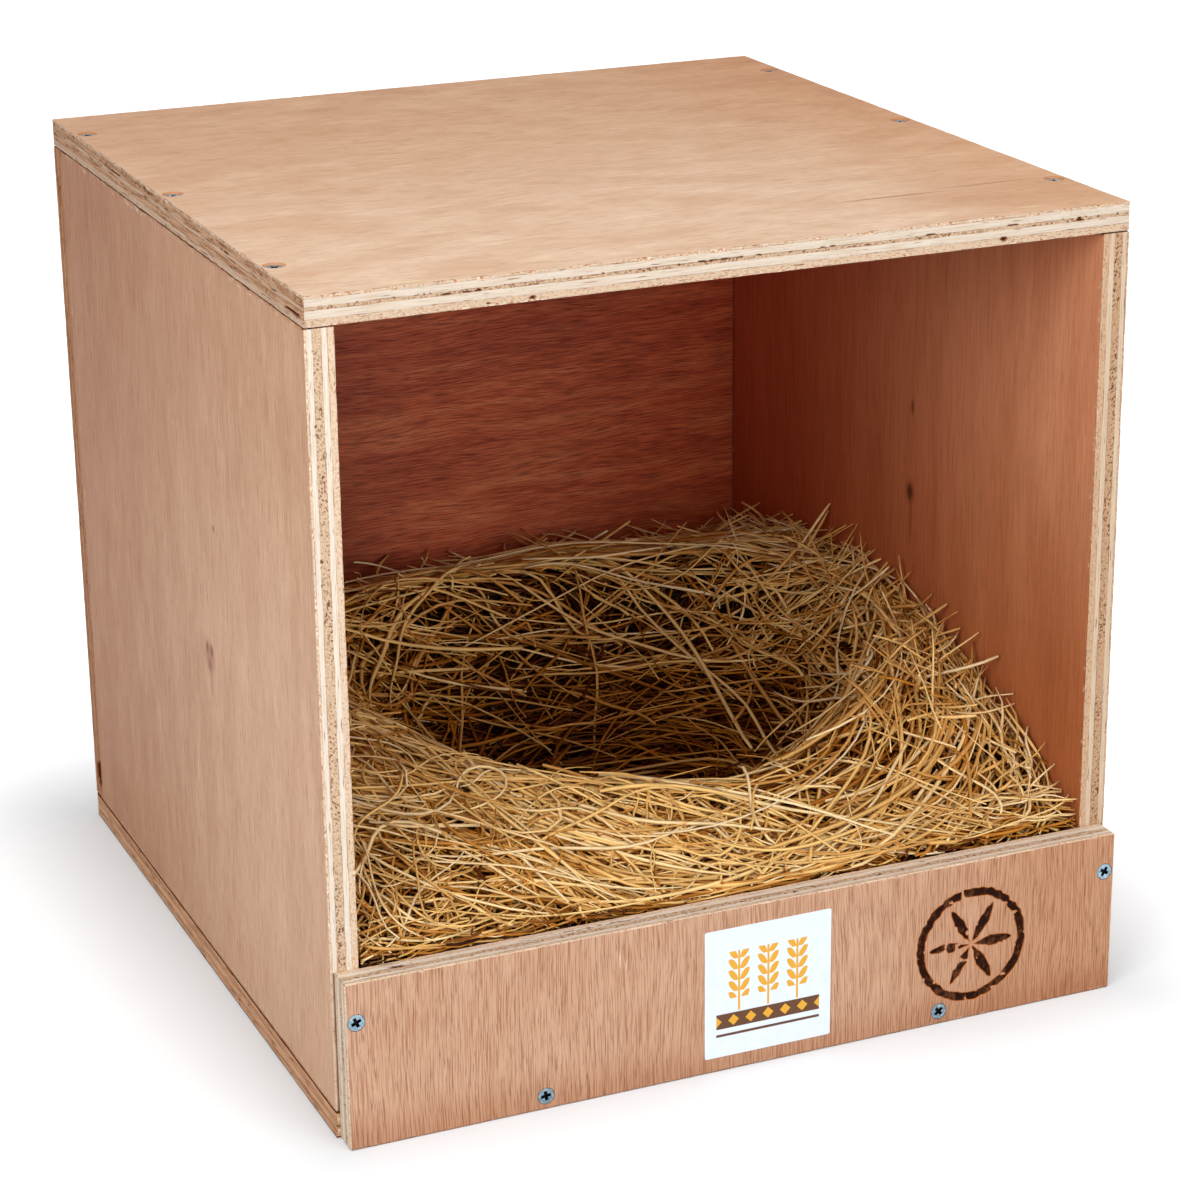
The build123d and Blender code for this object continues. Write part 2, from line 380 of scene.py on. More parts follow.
# Lauan face veneer: sliced, sanded and bare, so the eye gets soft ribbons, fine streaks and open pores
def veneerMaterial(name, look):
    material, add = newMaterial(name)
    grain, wear = (add("Attribute", out="Vector", attribute_name=held) for held in ("grain", "wear"))
    chip, stainAndShade, burn = (add("SeparateXYZ", {0: wear}, out=i) for i in range(3))
    driftLong, driftWide, driftBy = look["driftMm"]
    drift = fibrePattern(add, grain, driftLong, driftWide, detail=1.0)
    shift = add("MapRange", {0: drift, 3: -driftBy * mm, 4: driftBy * mm})
    sideways = add("CombineXYZ", {1: shift})
    bent = add("VectorMath ADD", {0: grain, 1: sideways})

    figure = fibrePattern(add, bent, *look["figureMm"], detail=4.0, roughness=0.6)
    dark, middle, pale = look["tones"]
    colour = add("ValToRGB", {0: figure}, stops=[(0.30, dark), (0.70, pale), (0.50, middle)])
    patterns = {}
    for layer, detail, roughness in (("mottle", 5.0, 0.65), ("streak", 2.0, 0.6), ("pore", 1.0, 0.5)):
        tint, sizeMm, (few, many), amount = look[layer]
        patterns[layer] = fibrePattern(add, bent, *sizeMm, detail=detail, roughness=roughness)
        shown = add("MapRange", {0: patterns[layer], 1: few, 2: many, 4: amount})
        colour = add("Mix", {0: shown, 6: colour, 7: tint}, **colourMix)
    streak = patterns["streak"]
    # Pale fibres between the streaks
    few, many = veneer["sheenAt"]
    sheen = add("MapRange", {0: streak, 1: few, 2: many, 4: look["sheen"]})
    colour = add("Mix", {0: sheen, 6: colour, 7: pale}, **colourMix)

    # Painted shade: each fade darkens the sheet towards where less light falls on it
    for tint, startMm, endMm, axis in look["shadeFades"]:
        over = add("SeparateXYZ", {0: grain}, out=axis)
        paintedShade = add("MapRange", {0: over, 1: startMm * mm, 2: endMm * mm}, interpolation_type="SMOOTHSTEP")
        colour = add("Mix", {0: paintedShade, 6: colour, 7: tint}, **colourMix, blend_type="MULTIPLY")
    outside, inside = veneer["knotAt"]
    for alongMm, acrossMm, sliceMm, longMm, wideMm, strength, tint in look["knots"]:
        knot = (alongMm * mm, acrossMm * mm, sliceMm * mm)
        perKnot = (1 / (longMm * mm), 1 / (wideMm * mm), 1 / mm)
        fromKnot = add("VectorMath SUBTRACT", {0: grain, 1: knot})
        fromKnot = add("VectorMath MULTIPLY", {0: fromKnot, 1: perKnot})
        fromKnot = add("VectorMath LENGTH", {0: fromKnot}, out="Value")
        ragged = add("Math ADD", {0: fromKnot, 1: streak})
        knotted = add("MapRange", {0: ragged, 1: outside, 2: inside, 4: strength})
        colour = add("Mix", {0: knotted, 6: colour, 7: tint}, **colourMix)

    # Torn spots at the edges show the ply below, screws leave the wood bruised, and beside joints it is
    # soiled and darkened with painted shade
    fleck = fibrePattern(add, grain, *veneer["splinterMm"], detail=1.0)
    torn = add("ValToRGB", {0: fleck}, stops=tornStops)
    colour = add("Mix", {0: chip, 6: colour, 7: torn}, **colourMix)
    bruise = add("Math MULTIPLY", {0: stainAndShade, 1: veneer["bruiseAmount"]})
    colour = add("Mix", {0: bruise, 6: colour, 7: look["bruise"]}, **colourMix)
    gloss, burntGloss = veneer["gloss"]
    if look["char"]:  # scorched wood goes from an orange halo to dark brown char
        char = add("ValToRGB", {0: burn}, stops=look["char"])
        ash = fibrePattern(add, grain, *veneer["ashMm"], detail=4.0, roughness=0.65)
        few, many = veneer["ashAt"]
        ash = add("MapRange", {0: ash, 1: few, 2: many, 4: veneer["ashAmount"]})
        char = add("Mix", {0: ash, 6: char, 7: look["ash"]}, **colourMix)
        least, most = veneer["charShade"]
        grit = add("MapRange", {0: streak, 1: 0.35, 2: 0.7, 3: least, 4: most})
        char = add("Mix", {0: 1.0, 6: char, 7: grit}, **colourMix, blend_type="MULTIPLY")
        scorch = add("MapRange", {0: burn, 1: 0.0, 2: veneer["scorchFull"]})
        colour = add("Mix", {0: scorch, 6: colour, 7: char}, **colourMix)
        gloss = add("MapRange", {0: scorch, 3: gloss, 4: burntGloss})

    few, many = look["pore"][2]
    poreLine = add("MapRange", {0: patterns["pore"], 1: few, 2: many})
    relief = add("Math SUBTRACT", {0: streak, 1: poreLine})
    bump = add("Bump", {"Height": relief, "Strength": 0.35, "Distance": veneer["reliefMm"] * mm})
    smooth, dull = veneer["roughness"]
    rough = add("MapRange", {0: streak, 1: 0.3, 2: 0.7, 3: smooth, 4: dull})
    surface = add("BsdfPrincipled", {
        "Base Color": colour, "Roughness": rough, "Normal": bump, "IOR": 1.45, "Specular IOR Level": gloss})
    add("OutputMaterial", {"Surface": surface})
    return material


# Plywood cut edge: sawn through five plies, so smooth long-grain stripes lie beside porous end-grain ones
def edgeMaterial(name, plyLines, tint):
    material, add = newMaterial(name)
    grain, wear = (add("Attribute", out="Vector", attribute_name=held) for held in ("grain", "wear"))
    pitAndGapShade, chip = (add("SeparateXYZ", {0: wear}, out=i) for i in (0, 1))
    depth, acrossRun = (add("SeparateXYZ", {0: grain}, out=i) for i in (1, 2))
    thickMm = plyLines[-1]
    place = add("Math DIVIDE", {0: depth, 1: thickMm * mm})
    wobble = fibrePattern(add, grain, *edgeLook["wobbleMm"], detail=1.0)
    wobble = add("MapRange", {0: wobble, 3: -edgeLook["wobbleBy"], 4: edgeLook["wobbleBy"]})
    place = add("Math ADD", {0: place, 1: wobble})

    lines = [line / thickMm for line in plyLines]
    parity = [(line, (ply + 1) % 2) for ply, line in enumerate(lines[:-1])]
    crossPly = add("ValToRGB", {0: place}, stops=parity, stepped=True)
    endGrain = add("Math SUBTRACT", {0: crossPly, 1: acrossRun})
    endGrain = add("Math ABSOLUTE", {0: endGrain})
    outermost = [(0.0, 1.0), (lines[1], 0.0), (lines[4], 1.0)]
    outerPly = add("ValToRGB", {0: place}, stops=outermost, stepped=True)

    patterns, woods = {}, {}
    for cut, detail, roughness in (("long", 2.0, 0.5), ("end", 2.0, 0.6), ("layer", 3.0, 0.6)):
        pale, dark, sizeMm, (darkAt, paleAt) = edgeLook[cut]
        patterns[cut] = fibrePattern(add, grain, *sizeMm, detail=detail, roughness=roughness)
        woods[cut] = add("ValToRGB", {0: patterns[cut]}, stops=[(darkAt, dark), (paleAt, pale)])
    crossSide = add("Mix", {0: acrossRun, 6: woods["end"], 7: woods["layer"]}, **colourMix)
    dull = add("Math MULTIPLY", {0: acrossRun, 1: edgeLook["layerOnLong"]})
    longSide = add("Mix", {0: dull, 6: woods["long"], 7: woods["layer"]}, **colourMix)
    colour = add("Mix", {0: endGrain, 6: longSide, 7: crossSide}, **colourMix)
    roughPly = add("Math MULTIPLY", {0: outerPly, 1: endGrain})
    sanded = add("Math MULTIPLY", {0: roughPly, 1: edgeLook["outerAmount"]})
    # Orange-brown flecks on the outer plies
    fleck = fibrePattern(add, grain, *edgeLook["fleckMm"], detail=2.0)
    few, many = edgeLook["fleckAt"]
    flecked = add("MapRange", {0: fleck, 1: few, 2: many, 4: edgeLook["fleckAmount"]})
    flecked = add("Math MULTIPLY", {0: flecked, 1: roughPly})
    # Open pores in the end grain, slanting specks that crowd in places
    leaning = add("VectorRotate", {"Vector": grain, "Angle": edgeLook["poreLean"]}, rotation_type="Z_AXIS")
    poreLong, poreWide = edgeLook["poreMm"]
    perPore = (1 / (poreLong * mm), 1 / (poreWide * mm), 0.0)
    leaning = add("VectorMath MULTIPLY", {0: leaning, 1: perPore})
    cells = {"Vector": leaning, "Scale": 1.0}
    fromPore = add("TexVoronoi", cells, out="Distance", voronoi_dimensions="2D")
    outside, inside = edgeLook["poreAt"]
    porous = add("MapRange", {0: fromPore, 1: outside, 2: inside})
    crowd = fibrePattern(add, grain, *edgeLook["crowdMm"], detail=2.0)
    few, many = edgeLook["crowdAt"]
    least, most = edgeLook["crowdAmount"]
    crowd = add("MapRange", {0: crowd, 1: few, 2: many, 3: least, 4: most})
    whole = add("Math MAXIMUM", {0: outerPly, 1: acrossRun})
    whole = add("MapRange", {0: whole, 3: 1.0, 4: edgeLook["poreLeast"]})
    for share in (crowd, endGrain, whole):
        porous = add("Math MULTIPLY", {0: porous, 1: share})
    # Brown cracks along the plies, many on the streaky edges
    crack = fibrePattern(add, grain, *edgeLook["crackMm"], detail=1.0)
    onSmooth, onStreaky = edgeLook["crackRare"]
    rare = add("MapRange", {0: acrossRun, 3: onSmooth, 4: onStreaky})
    crack = add("Math SUBTRACT", {0: crack, 1: rare})
    crack = add("MapRange", {0: crack, 1: 0.0, 2: edgeLook["crackSoft"], 4: edgeLook["crackAmount"]})
    # Dark glue lines between the plies, seen here and there
    gap = edgeLook["glueHalfMm"] / thickMm
    near = [(0.0, 0.0), (1.0, 0.0)]
    for line in lines[1:-1]:
        near += [(line - gap, 0.0), (line, 1.0), (line + gap, 0.0)]
    glueLine = add("ValToRGB", {0: place}, stops=near)
    patchy = fibrePattern(add, grain, *edgeLook["gluePatchMm"], detail=3.0)
    few, many = edgeLook["gluePatchAt"]
    least, most = edgeLook["gluePatchAmount"]
    patchy = add("MapRange", {0: patchy, 1: few, 2: many, 3: least, 4: most})
    glued = add("Math MULTIPLY", {0: glueLine, 1: patchy})
    # All of these over the wood, then splinters along the arrises, the board's own tone, which on the right
    # side holds painted shade too, and last the pits with the painted shade in the gaps at joints
    coats = ((sanded, "outer"), (flecked, "fleckDark"), (porous, "pore"), (crack, "crack"), (glued, "glue"))
    for share, coat in coats:
        colour = add("Mix", {0: share, 6: colour, 7: edgeLook[coat]}, **colourMix)
    torn = add("ValToRGB", {0: fleck}, stops=tornStops)
    colour = add("Mix", {0: chip, 6: colour, 7: torn}, **colourMix)
    colour = add("Mix", {0: 1.0, 6: colour, 7: tint}, **colourMix, blend_type="MULTIPLY")
    # Last the pits, and painted shade in the gaps at joints and where the panel stands on the ground
    colour = add("Mix", {0: pitAndGapShade, 6: colour, 7: edgeLook["pitAndGapShade"]}, **colourMix)

    relief = add("Mix", {0: endGrain, 2: patterns["long"], 3: patterns["end"]}, data_type="FLOAT")
    relief = add("Math SUBTRACT", {0: relief, 1: porous})
    bump = add("Bump", {"Height": relief, "Strength": 0.5, "Distance": edgeLook["reliefMm"] * mm})
    gloss = add("MapRange", {0: pitAndGapShade, 3: edgeLook["gloss"], 4: 0.0})
    surface = add("BsdfPrincipled", {
        "Base Color": colour, "Roughness": edgeLook["roughness"], "Normal": bump, "IOR": 1.45,
        "Specular IOR Level": gloss})
    add("OutputMaterial", {"Surface": surface})
    return material


# Plywood: meshes

plywood = {
    "seed": 100,
    "plyLinesMm": {                             # where one ply ends and the next begins
        "even": (0, 2.1, 4.3, 7.0, 9.8, 12),
        "thin": (0, 1.0, 4.2, 5.6, 8.9, 12),
        "side": (0, 0.9, 3.2, 6.8, 9.2, 12),
    },
    "rowsPerPly": 5,
    "sawnFromMm": 1.05,                         # rows of the sawn edge stay this far from both faces
    "bandShares": (1.0, 0.6, 0.32, 0.12),       # rows on a face beside its edge, where veneer splinters
    "arrisTurns": (0, 30, 60, 90),
    "arrisFromMm": (0.8, 0.5, 0.2, 0.0),        # how far from the edge those rows count as
    "arrisMm": 0.35,
    "arrisWearMm": 0.4,
    "arrisEveryMm": 7,
    "arrisOfBand": 0.85,                        # the most of its band that a worn arris takes
    "chipMm": (2.6, 0.9),
    "chipRare": (0.56, 0.09),                   # at the edge, and for each mm away from it
    "chipSoft": 0.12,
    "chipDeepMm": 0.25,
    "chipBack": 0.06,                           # share of the band that a chip takes off the edge
    "pitMm": (1.2, 0.7),
    "pitShares": (0.7, 0.3),                    # how far pits follow the coarse and the fine pattern
    "pitRare": 0.82,
    "pitSoft": 0.08,
    "pitDeepMm": 0.35,
    "pitLongGrain": 0.1,                        # pits in long grain and in outer plies, against 1 elsewhere
    "pitOuterPly": 0.2,
    "crowdMm": (24, 3),
    "crowdBy": 0.14,
    "sawMm": (0.9, 0.6),
    "sawDeepMm": 0.12,
    "rippleMm": (12, 0.5),
    "rippleDeepMm": 0.05,
    "proudMm": 0.14,                            # how far one ply stands out beyond another
    "raggedMm": (2.5, 0.7),
    "voidMm": (20, 1.2),
    "voidRagged": 0.25,
    "voidSoft": 0.06,
    "voidDeep": 2.2,                            # times the depth of a pit
    "holeRagged": 0.8,
    "cornerMm": 0.5,
    "gapShade": 0.95,                            # painted shade in the joint with another panel, and with the ground
    "soilAndShadeDark": 0.9,
    "soilAndShadeShare": 0.6,                           # share of the band that dirt and painted shade beside a joint take
    "latticeMm": 16,
    "latticeClearMm": 2,
    "ringPoints": 28,
    "dishDeepMm": 0.12,                         # wood bruised round a screw head
    "boreMm": 1.85,
    "sliceMm": (300.0, 70.0, 2500.0),           # between panels, between faces, and between edges in the wood
}

# The panel's texture map: its two faces side by side, above its four edges
bakeLayout = {
    "margin": 0.005,
    "faceShare": 0.485,
    "innerAt": 0.5,
    "facesAt": 0.505,
    "edgeLong": 0.99,
    "edgesAt": 0.01,
    "edgeEvery": 0.122,
    "edgeDeep": 0.105,
}

# Axes are along the face fibres, across them and through the thickness. Steps go round the edge from the
# low side of the second axis: along it, up the first axis' high end, back along its high side and down the
# low end. A void has a side, a ply and how rare it is. A hole has a side, a place along it, a depth, half
# its length and half its depth. A slit is painted shade beside a panel that covers part of the edge: it has
# a side, its two ends and a depth. Shaded joints are the sides that meet another panel, and on the lip and
# the floor the ground: painted shade darkens the gap, and painted shade with dirt the band beside it.
carcass = {
    "slot": "plywood_carcass", "plies": "even", "dishMm": 4.6, "sinkMm": (3.75, 2.1), "screws": None,
    "streaky": (1, 3), "joints": (), "shadeSlits": (), "voids": (), "holes": (),
}
sideBoard = {
    **carcass, "axes": (2, 1, 0), "stepMm": (0.5, 3.0, 3.0, 3.0), "bandMm": (3.0, 3.6), "splinter": 0.8,
    "faces": ("side", "innerSide"), "plies": "side", "joints": (1, 2, 3), "shadeSlits": ((0, 0, 62, 1.7),),
}
panels = [
    {**carcass, "node": "top_panel", "piece": "plywood_top", "slot": "plywood_top", "axes": (0, 1, 2),
     "outer": 1, "stepMm": (0.6, 0.75, 1.0, 0.65), "bandMm": (1.0, 4.2), "dishMm": 4.85,
     "sinkMm": (4.43, 2.7), "splinter": 1.0, "screws": "top_screws", "faces": ("top", "inside"),
     "plies": "thin", "edgeToneAndShade": "#F1EEEC", "voids": ((0, 2, 0.85), (3, 2, 0.84)),
     "holes": ((0, 91.5, 11.0, 1.6, 1.0), (0, 74.0, 11.2, 1.0, 1.0), (0, 297.0, 9.4, 1.5, 0.8),
               (3, 348.0, 8.6, 9.0, 0.7))},
    {**carcass, "node": "floor_panel", "piece": "plywood_floor", "axes": (0, 1, 2), "outer": -1,
     "stepMm": (3.0, 0.75, 1.0, 0.7), "bandMm": (1.2, 3.0), "splinter": 0.5, "screws": "floor_screws",
     "faces": ("side", "innerSide"), "edgeToneAndShade": "#FFEEDE", "joints": (0, 1, 2, 3), "voids": ((3, 3, 0.85),)},
    {**sideBoard, "node": "left_side", "piece": "plywood_left", "outer": -1, "edgeToneAndShade": "#FFFFFF"},
    # The right side's edge tone is darker as painted shade, for the lesser light on that side
    {**sideBoard, "node": "right_side", "piece": "plywood_right", "outer": 1, "edgeToneAndShade": "#E9DCCF"},
    {**carcass, "node": "back_panel", "piece": "plywood_back", "axes": (0, 2, 1), "outer": 1,
     "stepMm": (3.0, 0.7, 3.0, 0.7), "bandMm": (1.2, 2.0), "splinter": 0.5, "screws": "back_screws",
     "faces": ("side", "inside"), "edgeToneAndShade": "#DDC0A8", "joints": (0, 2), "voids": ((3, 2, 0.84),),
     "holes": ((3, 313.6, 8.4, 6.5, 4.0),)},
    {**carcass, "node": "front_lip", "piece": "plywood_lip", "slot": "plywood_lip", "axes": (2, 0, 1),
     "outer": -1, "stepMm": (0.5, 0.55, 0.6, 0.8), "bandMm": (1.3, 0.58), "dishMm": 3.88, "splinter": 0.45,
     "screws": "lip_screws", "faces": ("lip", "innerSide"), "edgeToneAndShade": "#FFFFFF", "streaky": (),
     "joints": (3,), "voids": ((1, 3, 0.84),)},
]

rosette = {
    "placeMm": (35.0, 106.5),  # up and across the lip
    "ringMm": (23.0, 26.0),
    "petalMm": (2.4, 19.5),
    "petals": 6,
    "deepMm": 0.5,
    "haloMm": 0.9,             # scorched outside the outline
    "charMm": 0.4,             # and fully burnt this far inside it
    "wallMm": (-0.15, 0.45),   # where the sunk part starts and is full
    "latticeMm": 0.5,
    "aroundMm": 2.5,
    "clearMm": 3.0,
    "waverMm": (2.2, 0.9),     # how far apart its outline wavers, and by how much
    "missedMm": (2.6, 2.2),    # spots that the iron missed: how far apart, and how far their edges reach
    "missedRare": (0.80, 0.92),
    "gritMm": 1.2,
}


# How far a point lies outside the burnt ring and petals, below zero inside them
def rosetteGap(x, z):
    radius = np.hypot(x, z)
    inner, outer = rosette["ringMm"]
    ring = np.abs(radius - (inner + outer) / 2) - (outer - inner) / 2
    root, tip = rosette["petalMm"]
    sector = 2 * math.pi / rosette["petals"]
    turn = (np.arctan2(z, x) + sector / 2) % sector - sector / 2
    rise = math.sqrt(tip ** 2 - ((tip - root) / 2) ** 2)
    petal = np.hypot(radius * np.cos(turn) - (root + tip) / 2, np.abs(radius * np.sin(turn)) + rise) - tip
    return np.minimum(ring, petal)


# Close points over the burnt rosette, sunk and scorched by how far inside its outline they are
def rosettePoints(rng, loose, looseDeep, lipMiddle):
    centre = np.array(rosette["placeMm"]) - lipMiddle
    radius = rosette["ringMm"][1] + rosette["aroundMm"]
    keep = np.hypot(*(loose - centre).T) > radius + rosette["clearMm"]
    ticks = np.arange(-radius, radius, rosette["latticeMm"])
    up, sideways = (a.ravel() for a in np.meshgrid(ticks, ticks, indexing="ij"))
    inside = np.hypot(up, sideways) < radius
    up, sideways = up[inside], sideways[inside]
    waverMm, waverBy = rosette["waverMm"]
    gap = rosetteGap(sideways, up) + waverBy * (cloudNoise(rng, sideways, up, waverMm, waverMm) - 0.5)
    missedMm, missedBy = rosette["missedMm"]
    gap += missedBy * ramp01(cloudNoise(rng, sideways, up, missedMm, missedMm), *rosette["missedRare"])
    burn = ramp01(-gap, -rosette["haloMm"], rosette["charMm"])
    grit = 0.8 + 0.2 * cloudNoise(rng, sideways, up, rosette["gritMm"], rosette["gritMm"])
    sunk = rosette["deepMm"] * ramp01(-gap, *rosette["wallMm"]) * grit
    spots = np.column_stack([up, sideways]) + centre
    return (np.concatenate([loose[keep], spots]), np.concatenate([looseDeep[keep], sunk]),
            np.concatenate([np.zeros(keep.sum()), burn]))


# Middles of a node's screw heads on the panel's plane
def screwPlaces(node, axes):
    spots = np.array([v.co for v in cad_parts[node].data.vertices])[:, axes[:2]] / mm
    reachMm = 10  # wider than a head, closer than the next screw
    places = []
    for spot in spots:
        if all(np.hypot(*(spot - place)) > reachMm for place in places):
            places.append(spot)
    groups = [spots[np.hypot(*(spots - place).T) < reachMm] for place in places]
    return [(group.min(0) + group.max(0)) / 2 for group in groups]


# Triangles between an outline, round holes and loose points inside
def fillFace(points, loops, holes, holeMm):
    edges = [(a, b) for loop in loops for a, b in zip(loop, np.roll(loop, -1))]
    made = delaunay_2d_cdt([Vector(p) for p in points], edges, [], 0, 1e-5, True)
    names = [origin[0] for origin in made[3]]
    corners = np.array([[names[v] for v in face] for face in made[2]])
    middles = points[corners].mean(1)
    for hole in holes:
        outside = np.hypot(*(middles - hole).T) > holeMm * 0.98
        corners, middles = corners[outside], middles[outside]
    first, second, third = (points[corners[:, i]] for i in range(3))
    area = (second - first)[:, 0] * (third - first)[:, 1] - (second - first)[:, 1] * (third - first)[:, 0]
    corners[area < 0] = corners[area < 0][:, ::-1]
    return corners[np.abs(area) > 1e-6]


# Columns of points round the edge, from corner to corner, and which way is outwards at each
def edgeColumns(panel, reach):
    outward = np.array([(0, -1), (1, 0), (0, 1), (-1, 0)])
    lengths = 2 * reach[[0, 1, 0, 1]]
    counts = [int(length / step) for length, step in zip(lengths, panel["stepMm"])]
    side = np.repeat(np.arange(4), counts)
    share = np.concatenate([np.arange(count) / count for count in counts])
    starts = np.concatenate(([0], np.cumsum(lengths)))
    corner = share == 0
    away = outward[side].astype(float)
    away[corner] += outward[side[corner] - 1]
    return SimpleNamespace(
        side=side, share=share, corner=corner, away=away, lengths=lengths, starts=starts, count=len(side),
        travel=starts[side] + share * lengths[side], stride=(lengths / counts)[side])


# Rows over the edge: a band of the outer face, its arris, the sawn edge, the other arris and band
def edgeRows(panel, thick):
    lines = np.array(plywood["plyLinesMm"][panel["plies"]])
    perPly = [np.linspace(a, b, plywood["rowsPerPly"], endpoint=False) for a, b in zip(lines, lines[1:])]
    depths = np.concatenate(perPly)
    clear = plywood["sawnFromMm"]
    depths = depths[(depths > clear) & (depths < thick - clear)]
    shares = plywood["bandShares"]
    face = len(shares) + len(plywood["arrisTurns"])
    count = 2 * face + len(depths)
    mitre = np.zeros(count)
    mitre[:len(shares)] = shares
    mitre[count - len(shares):] = shares[::-1]
    return SimpleNamespace(lines=lines, depths=depths, band=len(shares), face=face, count=count, mitre=mitre)


# Both faces' bands and arrises, worn round and splintered: how deep, how far in and how chipped each point is
def wearArrises(rng, panel, edge, rows, thick):
    deep, inset, chip = (np.zeros((rows.count, edge.count)) for _ in range(3))
    band = np.array(panel["bandMm"])[[1, 0, 1, 0]][edge.side]  # its width on the face
    share = rows.mitre[:rows.band, None]
    turns = np.radians(plywood["arrisTurns"])[:, None]
    arrisFrom = plywood["arrisFromMm"]
    fromEdge = np.concatenate([share * band + arrisFrom[0], np.outer(arrisFrom, np.ones(edge.count))])
    rareAtEdge, rarerPerMm = plywood["chipRare"]
    for upper in (True, False):
        wear = cloudNoise(rng, edge.travel, 0, plywood["arrisEveryMm"], 1) ** 2
        arris = np.minimum(plywood["arrisMm"] + plywood["arrisWearMm"] * wear, plywood["arrisOfBand"] * band)
        broken = cloudNoise(rng, edge.travel[None], fromEdge, *plywood["chipMm"])
        limit = rareAtEdge + rarerPerMm * fromEdge
        broken = ramp01(broken, limit, limit + plywood["chipSoft"]) * panel["splinter"]
        broken[0] = 0
        rounded = arris * (1 - np.sin(turns)) + plywood["chipBack"] * band * broken[rows.band:]
        sunk = np.concatenate([plywood["chipDeepMm"] * broken[:rows.band], arris * (1 - np.cos(turns))])
        order = slice(0, rows.face) if upper else slice(rows.count - 1, rows.count - 1 - rows.face, -1)
        deep[order] = sunk if upper else thick - sunk
        inset[order] = np.concatenate([arris * (1 - share), rounded])
        chip[order] = broken
    return deep, inset, chip


# The sawn edge: pits where end grain tears, voids inside a ply and single holes, and how far in each point is
def sawEdge(rng, panel, edge, rows):
    travel, depths = edge.travel[None], rows.depths[:, None]
    acrossRun = np.isin(edge.side, panel["streaky"]).astype(int)
    lastPly = len(rows.lines) - 2
    ply = np.clip(np.searchsorted(rows.lines, rows.depths + 0.01) - 1, 0, lastPly)
    endGrain = np.abs((ply[:, None] + 1) % 2 - acrossRun[None])
    inner = ((ply > 0) & (ply < lastPly))[:, None]
    coarse = cloudNoise(rng, travel, depths, *plywood["pitMm"])
    fine = cloudNoise(rng, travel, depths, *plywood["sawMm"])
    crowd = cloudNoise(rng, travel, depths, *plywood["crowdMm"])
    rare = plywood["pitRare"] - plywood["crowdBy"] * crowd
    coarseShare, fineShare = plywood["pitShares"]
    pits = ramp01(coarse * coarseShare + fine * fineShare, rare, rare + plywood["pitSoft"])
    longGrain, outerPly = plywood["pitLongGrain"], plywood["pitOuterPly"]
    pits = pits * (longGrain + (1 - longGrain) * endGrain) * (outerPly + (1 - outerPly) * inner)
    ragged = cloudNoise(rng, travel, depths, *plywood["raggedMm"]) - 0.5
    for side, voidPly, limit in panel["voids"]:
        hollow = cloudNoise(rng, travel, depths, *plywood["voidMm"]) + plywood["voidRagged"] * ragged
        gap = ramp01(hollow, limit, limit + plywood["voidSoft"])
        here = (ply == voidPly)[:, None] * (edge.side == side)[None]
        pits = np.maximum(pits, plywood["voidDeep"] * gap * here)
    for side, atMm, deepMm, halfLong, halfDeep in panel["holes"]:
        fromHole = (edge.travel - edge.starts[edge.side] - atMm)[None] / halfLong
        fromHole = np.hypot(fromHole, (depths - deepMm) / halfDeep)
        gap = ramp01(1.3 - fromHole + plywood["holeRagged"] * ragged, 0.1, 0.5)
        pits = np.maximum(pits, plywood["voidDeep"] * gap * (edge.side == side)[None])
    proud = rng.uniform(0, plywood["proudMm"], lastPly + 1)[ply][:, None]
    ripple = cloudNoise(rng, travel, depths, *plywood["rippleMm"])
    sawn = plywood["sawDeepMm"] * fine * (0.4 + endGrain) + plywood["rippleDeepMm"] * ripple
    return pits, proud + sawn + plywood["pitDeepMm"] * pits


# Points of the strip over the edge, on the panel's plane and by depth, and their wear: pits, chips, and dirt
# with painted shade at joints
def edgeStrip(rng, panel, edge, rows, reach, thick):
    deep, inset, chip = wearArrises(rng, panel, edge, rows, thick)
    pits, sawnIn = sawEdge(rng, panel, edge, rows)
    sawn = slice(rows.face, rows.count - rows.face)
    deep[sawn] = rows.depths[:, None]
    inset[sawn] = sawnIn
    inset += plywood["cornerMm"] * edge.corner * (rows.mitre == 0)[:, None]
    pitAndGapShade = np.zeros_like(deep)
    pitAndGapShade[sawn] = np.clip(pits, 0, 1)
    arrises = np.r_[rows.band + 1:rows.face, rows.count - rows.face:rows.count - rows.band - 1]
    for side in panel["joints"]:  # painted shade in the gaps where another panel butts against this edge, and where the lip and the floor stand on the ground
        pitAndGapShade[np.ix_(arrises, edge.side == side)] = plywood["gapShade"]
    local = edge.travel - edge.starts[edge.side]
    for side, startMm, endMm, deepMm in panel["shadeSlits"]:  # and painted shade beside a panel that covers part of the edge
        covered = (edge.side == side) & (local >= startMm) & (local <= endMm)
        shallow = rows.face + np.flatnonzero(rows.depths < deepMm)
        pitAndGapShade[np.ix_(shallow, covered)] = plywood["gapShade"]
        chip[:rows.face, covered] = 0

    corners = np.array([(-1, -1), (1, -1), (1, 1), (-1, 1)])
    start, end = corners[edge.side], corners[(edge.side + 1) % 4]
    toEnd = edge.share[:, None]
    slimmed = reach[None, None] - rows.mitre[:, None, None] * np.array(panel["bandMm"])
    spot = slimmed * (start * (1 - toEnd) + end * toEnd)[None] - edge.away[None] * inset[..., None]
    wear = np.stack([pitAndGapShade, chip, np.zeros_like(pitAndGapShade)], -1)
    isBand = np.isin(np.arange(rows.count), np.r_[0:rows.band + 1, rows.count - rows.band - 1:rows.count])
    wear[isBand, :, 0] = chip[isBand]  # the face veneer reads its chips first, then dirt and painted shade beside a joint
    wear[isBand, :, 1] = 0
    # Dirt and painted shade in the band beside a joint, darkest next to it
    soilAndShade = plywood["soilAndShadeDark"] * np.clip(1 - rows.mitre[isBand] / plywood["soilAndShadeShare"], 0, 1)
    for side in panel["joints"]:
        wear[np.ix_(isBand, edge.side == side, [1])] = soilAndShade[:, None, None]
    return np.column_stack([spot.reshape(-1, 2), deep.ravel()]), wear.reshape(-1, 3)


